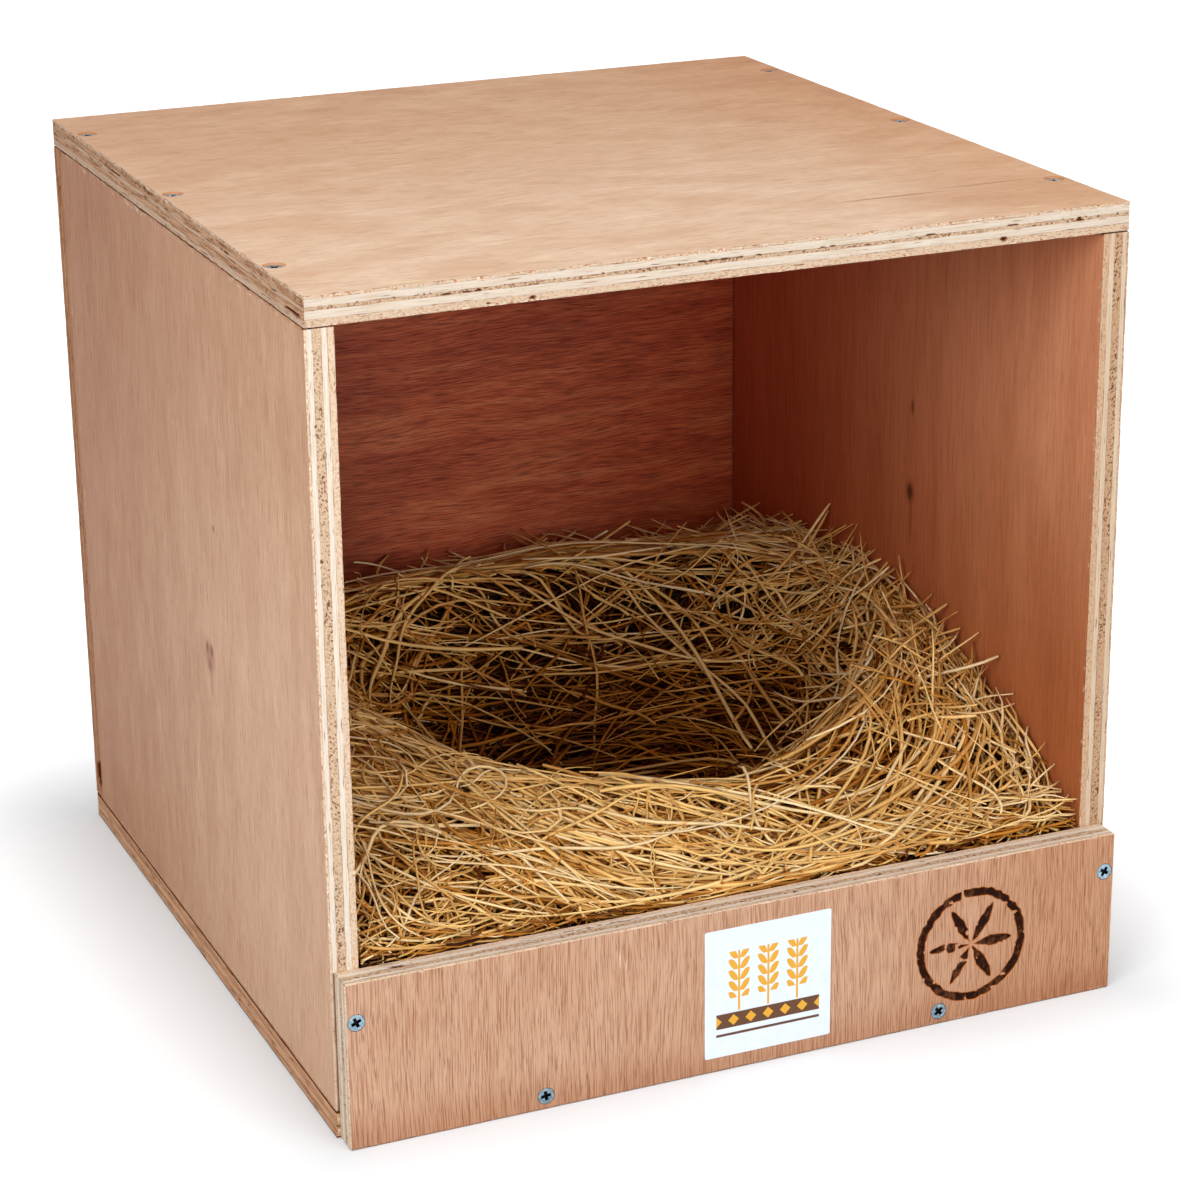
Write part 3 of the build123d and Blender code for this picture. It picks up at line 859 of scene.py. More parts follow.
# Rings of points down each countersunk hole, how bruised they are, their numbers and the quads between them
def screwRings(panel, places, thick, first):
    count, bore = plywood["ringPoints"], plywood["boreMm"]
    angle = np.arange(count) / count * 2 * math.pi
    circle = np.column_stack([np.cos(angle), np.sin(angle)])
    dish = panel["dishMm"]
    sink, sinkDeep = panel["sinkMm"]
    levels = [  # radius, depth and bruise
        (dish, 0.0, 0.0), (dish * 0.97, 0.02, 0.6), (sink, plywood["dishDeepMm"], 1.0), (bore, sinkDeep, 0.9),
        (bore, thick, 0.0)]
    points, wear = [], []
    for place in places:
        for radius, deep, bruise in levels:
            points.append(np.column_stack([place + circle * radius, np.full(count, deep)]))
            wear.append(np.tile((0.0, bruise, 0.0), (count, 1)))
    rings = first + np.arange(len(points) * count).reshape(len(places), len(levels), count)
    after = np.roll(rings, -1, axis=2)
    quads = np.stack([rings[:, :-1], after[:, :-1], after[:, 1:], rings[:, 1:]], -1)
    return points, wear, rings, quads.reshape(-1, 4)


# Loose points of a flat face, clear of the screw holes, and how burnt they are
def facePoints(rng, panel, face, places, reach, middle, thick):
    step = plywood["latticeMm"]
    ticks = [np.arange(-r + step * 0.7, r - step * 0.5, step) for r in reach]
    loose = np.stack(np.meshgrid(*ticks, indexing="ij"), -1).reshape(-1, 2)
    if places:
        fromHole = np.min([np.hypot(*(loose - place).T) for place in places], 0)
        loose = loose[fromHole > panel["dishMm"] + plywood["latticeClearMm"]]
    deep = np.full(len(loose), thick * face)
    burn = np.zeros(len(loose))
    if panel["node"] == "front_lip" and face == 0:
        loose, deep, burn = rosettePoints(rng, loose, deep, middle)
    return np.column_stack([loose, deep]), np.column_stack([burn * 0, burn * 0, burn])


# Where corners of flat faces lie in the wood: along and across the fibres, and in which slice of it
def flatGrain(plane, corners, inner, index):
    perPanel, perFace, _ = plywood["sliceMm"]
    slices = perPanel * index + perFace * inner
    slices = np.broadcast_to(slices[..., None, None], corners.shape + (1,))
    return np.concatenate([plane[corners], slices], -1)


# And where they lie on the texture map
def flatMap(plane, corners, inner, reach):
    spread = (plane[corners] / reach + 1) / 2
    shift = np.stack([bakeLayout["innerAt"] * inner, np.full(inner.shape, bakeLayout["facesAt"])], -1)
    return bakeLayout["margin"] + bakeLayout["faceShare"] * spread + shift[:, None]


# Quads of the strip, which material each shows, and their corners in the wood and on the texture map
def stripQuads(index, panel, edge, rows, points, reach, thick):
    row, column = np.meshgrid(np.arange(rows.count - 1), np.arange(edge.count), indexing="ij")
    row, column = row.ravel(), column.ravel()
    step = np.array([0, 0, 1, 1])
    cornerRow = np.stack([row, row + 1, row + 1, row], 1)
    quads = cornerRow * edge.count + (column[:, None] + step) % edge.count
    onOuter, onInner = row < rows.band, row >= rows.count - 1 - rows.band
    slots = np.where(onOuter, 0, np.where(onInner, 1, 2))
    side = edge.side[column][:, None]
    travel = edge.travel[column][:, None] + edge.stride[column][:, None] * step
    deep = points[quads, 2]
    acrossRun = np.broadcast_to(np.isin(side, panel["streaky"]) / mm, deep.shape)
    grain = np.stack([travel + plywood["sliceMm"][2] * index, deep, acrossRun], -1)
    toEnd = travel - edge.starts[side]
    mapAlong = bakeLayout["margin"] + bakeLayout["edgeLong"] * toEnd / edge.lengths[side]
    mapUp = bakeLayout["edgesAt"] + bakeLayout["edgeEvery"] * side + bakeLayout["edgeDeep"] * deep / thick
    flat = (onOuter | onInner)[:, None, None]
    plane = points[:, :2]
    grain = np.where(flat, flatGrain(plane, quads, onInner, index), grain)
    bakeMap = np.where(flat, flatMap(plane, quads, onInner, reach), np.stack([mapAlong, mapUp], -1))
    return quads, slots, grain, bakeMap


# Each face's corners in reverse order, quads first and then triangles
def flipCorners(values, quadCount, triangleCount):
    width = values.shape[1]
    head = values[:4 * quadCount].reshape(quadCount, 4, width)[:, ::-1]
    tail = values[4 * quadCount:].reshape(triangleCount, 3, width)[:, ::-1]
    return np.concatenate([head.reshape(-1, width), tail.reshape(-1, width)])


def plywoodPanel(index, panel):
    rng = np.random.default_rng(plywood["seed"] + index)
    low, high = (np.array(corner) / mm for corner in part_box(panel["node"]))
    axes = list(panel["axes"])
    middle = ((low + high) / 2)[axes]
    size = (high - low)[axes]
    reach, thick = size[:2] / 2, size[2]

    # Points of the edge, of the screw holes and of both faces
    edge, rows = edgeColumns(panel, reach), edgeRows(panel, thick)
    points, wear = edgeStrip(rng, panel, edge, rows, reach, thick)
    quads, slots, grain, bakeMap = stripQuads(index, panel, edge, rows, points, reach, thick)
    places = []
    if panel["screws"]:
        places = [place - middle[:2] for place in screwPlaces(panel["screws"], axes)]
    ringPoints, ringWear, rings, ringQuads = screwRings(panel, places, thick, len(points))
    points, wear = np.concatenate([points, *ringPoints]), np.concatenate([wear, *ringWear])
    triangleSets = []
    for face, holeMm in enumerate((panel["dishMm"], plywood["boreMm"])):
        loose, burn = facePoints(rng, panel, face, places, reach, middle[:2], thick)
        first = len(points)
        points, wear = np.concatenate([points, loose]), np.concatenate([wear, burn])
        outline = np.arange(edge.count) + face * (rows.count - 1) * edge.count
        loops = [outline, *rings[:, -face]]
        chosen = np.concatenate([*loops, np.arange(first, len(points))])
        spans = np.cumsum([0] + [len(loop) for loop in loops])
        numbered = [list(range(a, b)) for a, b in zip(spans, spans[1:])]
        found = chosen[fillFace(points[chosen, :2], numbered, places, holeMm)]
        triangleSets.append(found if face == 0 else found[:, ::-1])

    # All faces, with their materials and their corners in the wood and on the texture map
    triangles = np.concatenate(triangleSets)
    onInner = np.repeat((False, True), [len(found) for found in triangleSets])
    plane = points[:, :2]
    for corners, inner in ((ringQuads, np.zeros(len(ringQuads), bool)), (triangles, onInner)):
        slots = np.concatenate([slots, inner])
        flat = flatGrain(plane, corners, inner, index)
        grain = np.concatenate([grain.reshape(-1, 3), flat.reshape(-1, 3)])
        flat = flatMap(plane, corners, inner, reach)
        bakeMap = np.concatenate([bakeMap.reshape(-1, 2), flat.reshape(-1, 2)])
    grain *= mm
    quads = np.concatenate([quads, ringQuads])
    faces = quads.tolist() + triangles.tolist()
    outwards = np.eye(3)[axes] * [[1], [1], [panel["outer"]]]
    if np.linalg.det(outwards) < 0:
        faces = [face[::-1] for face in faces]
        grain, bakeMap = (flipCorners(values, len(quads), len(triangles)) for values in (grain, bakeMap))

    turned = np.zeros_like(points)
    turned[:, axes[:2]] = middle[:2] + plane
    turned[:, axes[2]] = middle[2] + panel["outer"] * (thick / 2 - points[:, 2])
    mesh = newMesh(panel["piece"], turned, faces, bakeMap)
    for name, values, where in (("grain", grain, "CORNER"), ("wear", wear, "POINT")):
        held = mesh.attributes.new(name, "FLOAT_VECTOR", where)
        held.data.foreach_set("vector", values.astype(np.float32).ravel())
    mesh.polygons.foreach_set("material_index", slots.astype(np.int32))
    mesh.set_sharp_from_angle(angle=math.radians(40))
    outerFace, innerFace = panel["faces"]
    materials = (veneers[outerFace], veneers[innerFace], edgeWoods[panel["piece"]])
    layPiece(mesh, materials, panel["node"])
    print("panel", panel["piece"], "with", len(faces), "faces")


# Screws

screwLook = {
    # Painted shade in the driver's cross, from near the head's top down to full depth
    "recess": "#0D1013",
    "rubMm": 0.9,
    "roughness": (0.26, 0.46),    # of the plate, and where it is rubbed
    "reliefMm": 0.05,
    "recessFromMm": 0.08,
    "recessFullMm": 0.5,
    "groups": {                   # axis that the heads face along, which way, and the plate's colours, darker on top as painted shade
        "top_screws": (2, 1, "#586269", "#B4BCC1"),
        "floor_screws": (2, -1, "#7090A2", "#A6B8C2"),
        "back_screws": (1, 1, "#7090A2", "#A6B8C2"),
        "lip_screws": (1, -1, "#7090A2", "#A6B8C2"),
    },
}


# Bright zinc plate on steel: bluish and half shiny, with painted shade dark in the driver's cross between its
# walls
def screwMaterial(name, node, axis, outer, zinc, worn):
    material, add = newMaterial(name)
    low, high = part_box(node)
    level = (high if outer > 0 else low)[axis]
    place = add("TexCoord", out="Object")
    along = add("SeparateXYZ", {0: place}, out=axis)
    start, full = (level - outer * screwLook[key] * mm for key in ("recessFromMm", "recessFullMm"))
    recess = add("MapRange", {0: along, 1: start, 2: full})
    rub = fibrePattern(add, place, screwLook["rubMm"], screwLook["rubMm"], detail=2.0)
    colour = add("ValToRGB", {0: rub}, stops=[(0.40, zinc), (0.68, worn)])
    colour = add("Mix", {0: recess, 6: colour, 7: screwLook["recess"]}, **colourMix)
    smooth, dull = screwLook["roughness"]
    rough = add("MapRange", {0: rub, 1: 0.3, 2: 0.7, 3: smooth, 4: dull})
    bump = add("Bump", {"Height": rub, "Strength": 0.25, "Distance": screwLook["reliefMm"] * mm})
    surface = add("BsdfPrincipled", {
        "Base Color": colour, "Metallic": 0.85, "Roughness": rough, "Normal": bump})
    add("OutputMaterial", {"Surface": surface})
    return material


def dressScrews():
    for node, finish in screwLook["groups"].items():
        plate = screwMaterial("zinc plated steel " + node, node, *finish)
        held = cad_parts[node].data.materials
        held.clear()
        held.append(plate)
    print("screws dressed")


# Label

labelLook = {
    "paper": "#E4ECF7",
    "paperShade": "#DEE8F4",
    "brown": "#5B3413",
    "gold": "#E0A428",
    "earsApartMm": 13.5,
    "earsReachMm": 20.2,          # half the row's length: three ears
    "stemMm": (-9.0, 18.5),
    "stemWideMm": 0.5,
    "seedsAboveMm": 6.0,          # bare stem below the first seed
    "seedEveryMm": 5.0,
    "seedMm": (3.3, 1.35),        # half length and half width
    "seedOutMm": 2.7,
    "seedTilt": 0.6,
    "bandsMm": ((-13.0, 24.0, 3.4), (-19.4, 24.0, 0.6)),  # height, half length and half width
    "diamondMm": 2.5,
    "diamondEveryMm": 8.0,
    "speckMm": 0.5,               # paper fibres are finer, and wouldn't show
    "cloudMm": 6,
    "reliefMm": 0.03,
}


# Coated label paper: cool white and smooth, printed with three wheat ears over a band of diamonds
def labelMaterial(name):
    material, add = newMaterial(name)
    low, high = (np.array(corner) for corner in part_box("lip_label"))
    place = add("TexCoord", out="Object")
    moved = add("VectorMath SUBTRACT", {0: place, 1: tuple((low + high) / 2)})
    inMm = add("VectorMath SCALE", {0: moved, "Scale": 1 / mm})
    folded = add("VectorMath ABSOLUTE", {0: inMm})
    sideways = add("SeparateXYZ", {0: folded}, out=0)
    width, height = (add("SeparateXYZ", {0: inMm}, out=i) for i in (0, 2))

    # Two brown bands, the wide one with a row of gold diamonds
    bands = []
    for middle, reach, half in labelLook["bandsMm"]:
        level = add("Math COMPARE", {0: height, 1: middle, 2: half})
        within = add("Math COMPARE", {0: sideways, 1: 0.0, 2: reach})
        bands.append(add("Math MULTIPLY", {0: level, 1: within}))
    wideBand, thinBand = bands
    ink = add("Math MAXIMUM", {0: wideBand, 1: thinBand})
    rowUp = labelLook["bandsMm"][0][0]
    fromRow = add("Math SUBTRACT", {0: height, 1: rowUp})
    fromRow = add("Math ABSOLUTE", {0: fromRow})
    fromColumn = add("Math PINGPONG", {0: width, 1: labelLook["diamondEveryMm"] / 2})
    fromDiamond = add("Math ADD", {0: fromRow, 1: fromColumn})
    diamond = add("Math LESS_THAN", {0: fromDiamond, 1: labelLook["diamondMm"]})
    diamond = add("Math MULTIPLY", {0: diamond, 1: wideBand})

    # Gold stems in a row
    foot, tip = labelLook["stemMm"]
    seedFoot = foot + labelLook["seedsAboveMm"]
    inRow = add("Math COMPARE", {0: sideways, 1: 0.0, 2: labelLook["earsReachMm"]})
    fromEar = add("Math PINGPONG", {0: width, 1: labelLook["earsApartMm"] / 2})
    parts = []
    for start in (foot, seedFoot):
        middle, half = (start + tip) / 2, (tip - start) / 2
        upright = add("Math COMPARE", {0: height, 1: middle, 2: half})
        parts.append(add("Math MULTIPLY", {0: inRow, 1: upright}))
    stem, ear = parts
    onStem = add("Math COMPARE", {0: fromEar, 1: 0.0, 2: labelLook["stemWideMm"]})
    stem = add("Math MULTIPLY", {0: stem, 1: onStem})

    # Gold seeds that lean outwards on both sides of each stem
    every = labelLook["seedEveryMm"]
    upSeed = add("Math FLOORED_MODULO", {0: height, 1: every})
    upSeed = add("Math SUBTRACT", {0: upSeed, 1: every / 2})
    outwards = add("Math SUBTRACT", {0: fromEar, 1: labelLook["seedOutMm"]})
    seedPlace = add("CombineXYZ", {0: outwards, 1: upSeed})
    lean = labelLook["seedTilt"] - math.pi / 2
    turned = add("VectorRotate", {"Vector": seedPlace, "Angle": lean}, rotation_type="Z_AXIS")
    long, wide = labelLook["seedMm"]
    squeezed = add("VectorMath MULTIPLY", {0: turned, 1: (1 / long, 1 / wide, 0)})
    fromSeed = add("VectorMath LENGTH", {0: squeezed}, out="Value")
    seed = add("Math LESS_THAN", {0: fromSeed, 1: 1.0})
    seed = add("Math MULTIPLY", {0: seed, 1: ear})
    gold = add("Math MAXIMUM", {0: seed, 1: stem})
    gold = add("Math MAXIMUM", {0: gold, 1: diamond})

    speck, cloud = (fibrePattern(add, place, labelLook[size], labelLook[size])
                    for size in ("speckMm", "cloudMm"))
    tones = [(0.3, labelLook["paperShade"]), (0.7, labelLook["paper"])]
    colour = add("ValToRGB", {0: cloud}, stops=tones)
    for printed, tint in ((ink, "brown"), (gold, "gold")):
        colour = add("Mix", {0: printed, 6: colour, 7: labelLook[tint]}, **colourMix)
    bump = add("Bump", {"Height": speck, "Strength": 0.1, "Distance": labelLook["reliefMm"] * mm})
    surface = add("BsdfPrincipled", {
        "Base Color": colour, "Roughness": 0.42, "Normal": bump, "IOR": 1.48})
    add("OutputMaterial", {"Surface": surface})
    return material


def dressLabel():
    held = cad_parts["lip_label"].data.materials
    held.clear()
    held.append(labelMaterial("coated label paper"))
    print("label dressed")


# Straw nest

nest = {
    "seed": 7,
    "gridMm": 3.0,
    "gridFromMm": (1.0, 0.5),     # between the grid and the sides of the solid
    "castFromMm": 400,            # rays that find its height start up here
    "softenPasses": 8,
    "lumpMm": (44, 30, 7.0),      # how far apart the lumps are each way, and their height
    "hollowNearMm": 150,          # the hollow lies this near the middle
    "coreBelowMm": 17.0,
    "coreLeastMm": 2.0,
    "wallGapMm": 0.4,
    "floorGapMm": 1.5,
    "triesPerStraw": 40,
    "lengthPower": 1.3,           # above 1, more straws are short and thin than long and thick
    "widthPower": 1.4,
    "tightestMm": 60,
    "waves": (0.7, 2.2),          # along one straw
    "bowMm": 1.5,
    "shadeAndChanceShares": (0.85, 0.15),   # how far a straw's height in its bed sets its tone, as painted shade on the deep ones, and how far chance does
    "depthShadePower": 3.2,             # how fast the painted shade darkens straws with depth
    "flatness": 0.55,
    "steep": 0.8,
    "twist": (0.7, 1.0),          # of a whole straw, and from one end to the other
    "taper": ((0, 0.12, 0.8, 1), (0.75, 1, 1, 0.6)),
}

# Colours go from the deepest straws, painted dark as shade, to the top ones. A straw's texture map has a
# column for each tone, and the straw takes the middle part of it.
strawLook = {
    "columns": 128,
    "tones": ((0.0, "#140300"), (1.0, "#FFEBC0"), (0.2, "#5E2603"), (0.42, "#C07C26"), (0.68, "#F8CE82")),
    "kinds": (("#A08C4A", 0.80, 0.95, 0.1), ("#B9752F", 0.25, 0.05, 0.15)),  # olive, rusty: limits and amount
    "spot": "#6E4519",
    "spotsAlong": 7.0,
    "spotAt": (0.68, 0.76),
    "spotAmount": 0.45,
    "shade": (0.72, 1.12),
    "ribs": 50.0,                 # real ribs are finer, and wouldn't show
    "ribShade": (0.9, 1.08),
    "roughness": (0.34, 0.55),
    "gloss": 0.15,
    "mapAcross": (0.15, 0.7),     # start and length on the map
    "mapAlong": (0.02, 0.96),
    "mapStart": (0.004, 0.016),   # limits of the cut ends on the map
    "mapEnd": (0.984, 0.996),
    "litter": ("#24150A", "#5C3C17"),
    "litterMm": (14, 1.2),
    "litterReliefMm": 1.5,
}

# Beds of straw, from the bottom up. The sizes in a row are how many, from where to where round the hollow,
# how long and wide, and from how deep to how high they lie. The habits are how far they stray from sweeping
# round the hollow, how far they follow its curve, how they curl and wiggle, how stiffly they bridge dips and
# how they rise. Last come their tones and the points along a straw. Tones hold painted light and shade: the
# deep beds and the lining are darker as painted shade, and the straws by the walls lighter as painted light.
# Some beds keep to the walls or to an area (left, right, front and back), and some have a heading of their
# own.
bedKeys = ("piece", "count", "ringMm", "lengthMm", "widthMm", "liftMm",
           "scatter", "follow", "curl", "wiggle", "stiff", "rise", "tones", "points")
bedRows = (
    ("straw_underlay", 2200, (0, 300), (45, 110), (1.0, 1.9), (-20, -10),
     3.0, 0.0, 0.006, 0.1, 0.3, 0.15, (0.0, 0.14), 8),
    ("straw_hay", 650, (60, 300), (40, 120), (0.9, 1.5), (-12, -4),
     3.0, 0.0, 0.02, 0.4, 0.2, 0.10, (0.02, 0.35), 13),
    ("straw_lining", 1050, (0, 125), (55, 140), (1.1, 2.1), (-10, 3),
     0.5, 0.85, 0.005, 0.14, 0.25, 0.06, (0.15, 0.66), 10),
    ("straw_rim", 620, (95, 190), (90, 220), (1.3, 2.5), (-10, 6),
     0.26, 0.9, 0.003, 0.12, 0.25, 0.04, (0.02, 1.0), 14),
    ("straw_bank", 520, (115, 300), (45, 150), (1.2, 2.2), (-9, 6),
     0.9, 0.5, 0.02, 0.5, 0.2, 0.10, (0.03, 1.0), 15),
    ("straw_curls", 520, (110, 300), (45, 120), (1.0, 1.8), (-7, 7),
     3.0, 0.0, 0.024, 0.5, 0.1, 0.10, (0.03, 1.0), 16),
    ("straw_sweep", 150, (100, 190), (110, 260), (1.5, 2.6), (1, 7),
     0.35, 0.8, 0.003, 0.12, 0.3, 0.04, (0.5, 1.0), 18),
    ("straw_slant", 140, (105, 300), (90, 200), (1.3, 2.3), (1, 7),
     0.3, 0.0, 0.003, 0.12, 0.35, 0.05, (0.5, 1.0), 14),
    ("straw_wall", 650, (60, 300), (35, 90), (1.0, 1.9), (-5, 3),
     0.8, 0.2, 0.015, 0.45, 0.6, 0.45, (0.55, 1.0), 12),
    ("straw_front", 340, (60, 300), (35, 100), (1.1, 2.0), (-6, 4),
     0.45, 0.0, 0.012, 0.35, 0.3, 0.15, (0.35, 1.0), 12),
    ("straw_loose", 320, (95, 300), (30, 95), (1.0, 1.9), (-1, 4),
     1.0, 0.2, 0.008, 0.2, 0.8, 0.4, (0.5, 0.97), 11),
    ("straw_sprigs", 110, (130, 300), (38, 72), (1.2, 1.9), (1, 6),
     1.2, 0.0, 0.006, 0.12, 1.0, 0.85, (0.5, 0.97), 9),
)
beds = {row[0]: dict(zip(bedKeys, row)) for row in bedRows}
beds["straw_curls"].update(areaMm=(-170, 40, -180, -40))
beds["straw_slant"].update(areaMm=(-170, 70, -176, -30), heading=-0.55)
beds["straw_wall"].update(wallMm=16)
beds["straw_front"].update(areaMm=(-170, 170, -177, -152), heading=0.0)
beds["straw_sprigs"].update(areaMm=(60, 170, -120, 70))


# The nest's surface from its CAD solid, softened and lumped: a grid of heights and how to read it
def nestSurface(rng):
    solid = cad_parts["straw_nest"].data
    tree = BVHTree.FromPolygons([v.co for v in solid.vertices], [list(p.vertices) for p in solid.polygons])
    low, high = (np.array(corner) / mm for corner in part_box("straw_nest"))
    step = nest["gridMm"]
    first, last = nest["gridFromMm"]
    xs, ys = (np.arange(low[i] + first, high[i] - last, step) for i in (0, 1))
    down = Vector((0, 0, -1))
    hits = [[tree.ray_cast(Vector((x, y, nest["castFromMm"])) * mm, down)[0] for y in ys] for x in xs]
    heights = np.array([[hit.z / mm for hit in row] for row in hits])
    for _ in range(nest["softenPasses"]):
        padded = np.pad(heights, 1, mode="edge")
        heights = (padded[:-2, 1:-1] + padded[2:, 1:-1] + padded[1:-1, :-2] + padded[1:-1, 2:] + heights) / 5
    apartX, apartY, tall = nest["lumpMm"]
    heights += tall * (cloudNoise(rng, xs[:, None], ys[None], apartX, apartY) - 0.5)

    def heightAt(x, y):
        i = np.clip((x - xs[0]) / step, 0, len(xs) - 1.001)
        j = np.clip((y - ys[0]) / step, 0, len(ys) - 1.001)
        a, b = i.astype(int), j.astype(int)
        u, v = i - a, j - b
        near = heights[a, b] * (1 - v) + heights[a, b + 1] * v
        far = heights[a + 1, b] * (1 - v) + heights[a + 1, b + 1] * v
        return near * (1 - u) + far * u

    inside = np.abs(xs)[:, None] + np.abs(ys)[None] < nest["hollowNearMm"]
    i, j = np.unravel_index(np.argmin(np.where(inside, heights, np.inf)), heights.shape)
    return SimpleNamespace(
        low=low, high=high, xs=xs, ys=ys, heights=heights, heightAt=heightAt, hollow=(xs[i], ys[j]))


# Middle lines of a bed's straws, with their widths and tones
def strawLines(rng, bed, surface):
    low, high, hollow = surface.low, surface.high, surface.hollow
    tries = nest["triesPerStraw"] * bed["count"]
    x, y = (rng.uniform(low[i], high[i], tries) for i in (0, 1))
    radius = np.hypot(x - hollow[0], y - hollow[1])
    keep = (radius > bed["ringMm"][0]) & (radius < bed["ringMm"][1])
    if "wallMm" in bed:
        keep &= np.minimum(np.minimum(x - low[0], high[0] - x), high[1] - y) < bed["wallMm"]
    if "areaMm" in bed:
        left, right, front, back = bed["areaMm"]
        keep &= (x > left) & (x < right) & (y > front) & (y < back)
    x, y, radius = (values[keep][:bed["count"]] for values in (x, y, radius))
    count = len(x)

    def drawn(limits, power=1.0):
        return limits[0] + (limits[1] - limits[0]) * rng.random((count, 1)) ** power

    length, width = drawn(bed["lengthMm"], nest["lengthPower"]), drawn(bed["widthMm"], nest["widthPower"])
    rise = drawn((-bed["rise"], bed["rise"]))
    share = np.linspace(-0.5, 0.5, bed["points"])[None]
    travel = share * length
    heading = np.arctan2(y - hollow[1], x - hollow[0]) + math.pi / 2
    if "heading" in bed:
        heading = np.full(count, bed["heading"])
    heading = heading[:, None] + rng.normal(0, bed["scatter"], (count, 1))
    bend = bed["follow"] / np.maximum(radius, nest["tightestMm"])[:, None]
    bend = bend + rng.normal(0, bed["curl"], (count, 1))
    waves = np.sin(2 * math.pi * (share * rng.uniform(*nest["waves"], (count, 1)) + rng.random((count, 1))))
    turning = heading + bend * travel + bed["wiggle"] * waves
    stride = np.diff(travel, axis=1) * np.sqrt(1 - rise ** 2)
    between = (turning[:, 1:] + turning[:, :-1]) / 2
    spots = []
    for axis, (start, step) in enumerate(((x, np.cos(between) * stride), (y, np.sin(between) * stride))):
        run = np.concatenate([np.zeros((count, 1)), np.cumsum(step, 1)], 1)
        line = start[:, None] + run - run.mean(1, keepdims=True)
        gap = nest["wallGapMm"] + width / 2
        short = np.maximum(low[axis] + gap - line.min(1, keepdims=True), 0)
        over = np.maximum(line.max(1, keepdims=True) - high[axis] + gap, 0)
        spots.append(line + short - over)
    ground = surface.heightAt(spots[0], spots[1])
    slope = (ground * share).sum(1, keepdims=True) / (share ** 2).sum()
    bridge = ground.mean(1, keepdims=True) + slope * share
    bow = rng.normal(0, nest["bowMm"], (count, 1)) * (1 - 4 * share ** 2)
    lift = rng.random((count, 1))
    under, over = bed["liftMm"]
    tall = ground + bed["stiff"] * (bridge - ground) + under + (over - under) * lift + rise * travel + bow
    spots.append(np.maximum(tall, low[2] + nest["floorGapMm"]))
    # Painted shade: the lower a straw lies in its bed, the darker its tone
    shadeByHeight, byChance = nest["shadeAndChanceShares"]
    dim, bright = bed["tones"]
    tones = dim + (bright - dim) * (shadeByHeight * lift + byChance * rng.random((count, 1))) ** nest["depthShadePower"]
    return np.stack(spots, -1), width, tones[:, 0]


# Straws as flattened four-sided tubes with closed ends, each in one column of the colour map
def strawPiece(rng, bed, surface):
    lines, width, tones = strawLines(rng, bed, surface)
    count, points = lines.shape[:2]
    run = np.gradient(lines, axis=1)
    run /= np.linalg.norm(run, axis=2, keepdims=True)
    steep = np.abs(run[..., 2]).mean(1) > nest["steep"]
    up = np.where(steep[:, None, None], (1.0, 0, 0), (0, 0, 1.0))
    level = np.cross(run, up)
    level /= np.linalg.norm(level, axis=2, keepdims=True)
    above = np.cross(level, run)
    whole, endToEnd = (rng.normal(0, spread, (count, 1)) for spread in nest["twist"])
    twist = (whole + endToEnd * np.linspace(-0.5, 0.5, points))[..., None]
    wideWay = level * np.cos(twist) + above * np.sin(twist)
    thinWay = above * np.cos(twist) - level * np.sin(twist)
    taper = np.interp(np.linspace(0, 1, points), *nest["taper"])[None, :, None]
    half = width[:, :, None] / 2 * taper
    wideHalf, thinHalf = wideWay * half, thinWay * half * nest["flatness"]
    verts = lines[:, :, None] + np.stack([wideHalf, thinHalf, -wideHalf, -thinHalf], 2)

    base = (np.arange(count) * points * 4)[:, None, None]
    along = (np.arange(points - 1) * 4)[None, :, None]
    sides = np.array([(q, (q + 1) % 4, (q + 1) % 4 + 4, q + 4) for q in range(4)])
    walls = (base[..., None] + along[..., None] + sides[None, None]).reshape(-1, 4)
    ends = np.concatenate([base[:, 0] + (3, 2, 1, 0), base[:, 0] + (points - 1) * 4 + np.arange(4)])

    columns = strawLook["columns"]
    column = np.floor(tones * (columns - 0.01))[:, None, None, None]
    acrossFrom, acrossLong = strawLook["mapAcross"]
    alongFrom, alongLong = strawLook["mapAlong"]
    acrossShare = np.array([(q, q + 1, q + 1, q) for q in range(4)])[None, None] / 4
    alongShare = (np.arange(points - 1)[None, :, None, None] + np.array((0, 0, 1, 1))) / (points - 1)
    mapU = (column + acrossFrom + acrossLong * acrossShare) / columns
    mapV = alongFrom + alongLong * alongShare
    maps = [np.stack(np.broadcast_arrays(mapU, mapV), -1).reshape(-1, 2)]
    acrossTo = acrossFrom + acrossLong
    endU = (column[:, 0, 0] + (acrossFrom, acrossTo, acrossTo, acrossFrom)) / columns
    for near, far in (strawLook["mapStart"], strawLook["mapEnd"]):
        endV = np.broadcast_to((near, near, far, far), (count, 4))
        maps.append(np.stack([endU, endV], -1).reshape(-1, 2))
    faces = np.concatenate([walls, ends]).tolist()
    mesh = newMesh(bed["piece"], verts.reshape(-1, 3), faces, np.concatenate(maps))
    layPiece(mesh, [strawStalk], "straw_nest")
    print("straw bed", bed["piece"], "with", count, "straws")


# The packed inside of the nest, a closed block under the straws, painted dark as the shade deep in the nest
def strawCore(surface):
    floor = surface.low[2]
    gridX, gridY = np.meshgrid(surface.xs, surface.ys, indexing="ij")
    tall = np.maximum(surface.heights - nest["coreBelowMm"], floor + nest["coreLeastMm"])
    top = np.stack([gridX, gridY, tall], -1).reshape(-1, 3)
    bottom = top * (1, 1, 0) + (0, 0, floor)
    number = np.arange(len(top)).reshape(gridX.shape)
    quads = np.stack([number[:-1, :-1], number[1:, :-1], number[1:, 1:], number[:-1, 1:]], -1).reshape(-1, 4)
    rim = np.concatenate([number[:-1, 0], number[-1, :-1], number[:0:-1, -1], number[0, :0:-1]])
    after = np.roll(rim, -1)
    walls = np.stack([rim + len(top), after + len(top), after, rim], -1)
    faces = np.concatenate([quads, walls, (quads + len(top))[:, ::-1]]).tolist()
    mesh = newMesh("straw_core", np.concatenate([top, bottom]), faces)
    layPiece(mesh, [shadedLitter], "straw_nest")
    print("straw core laid")


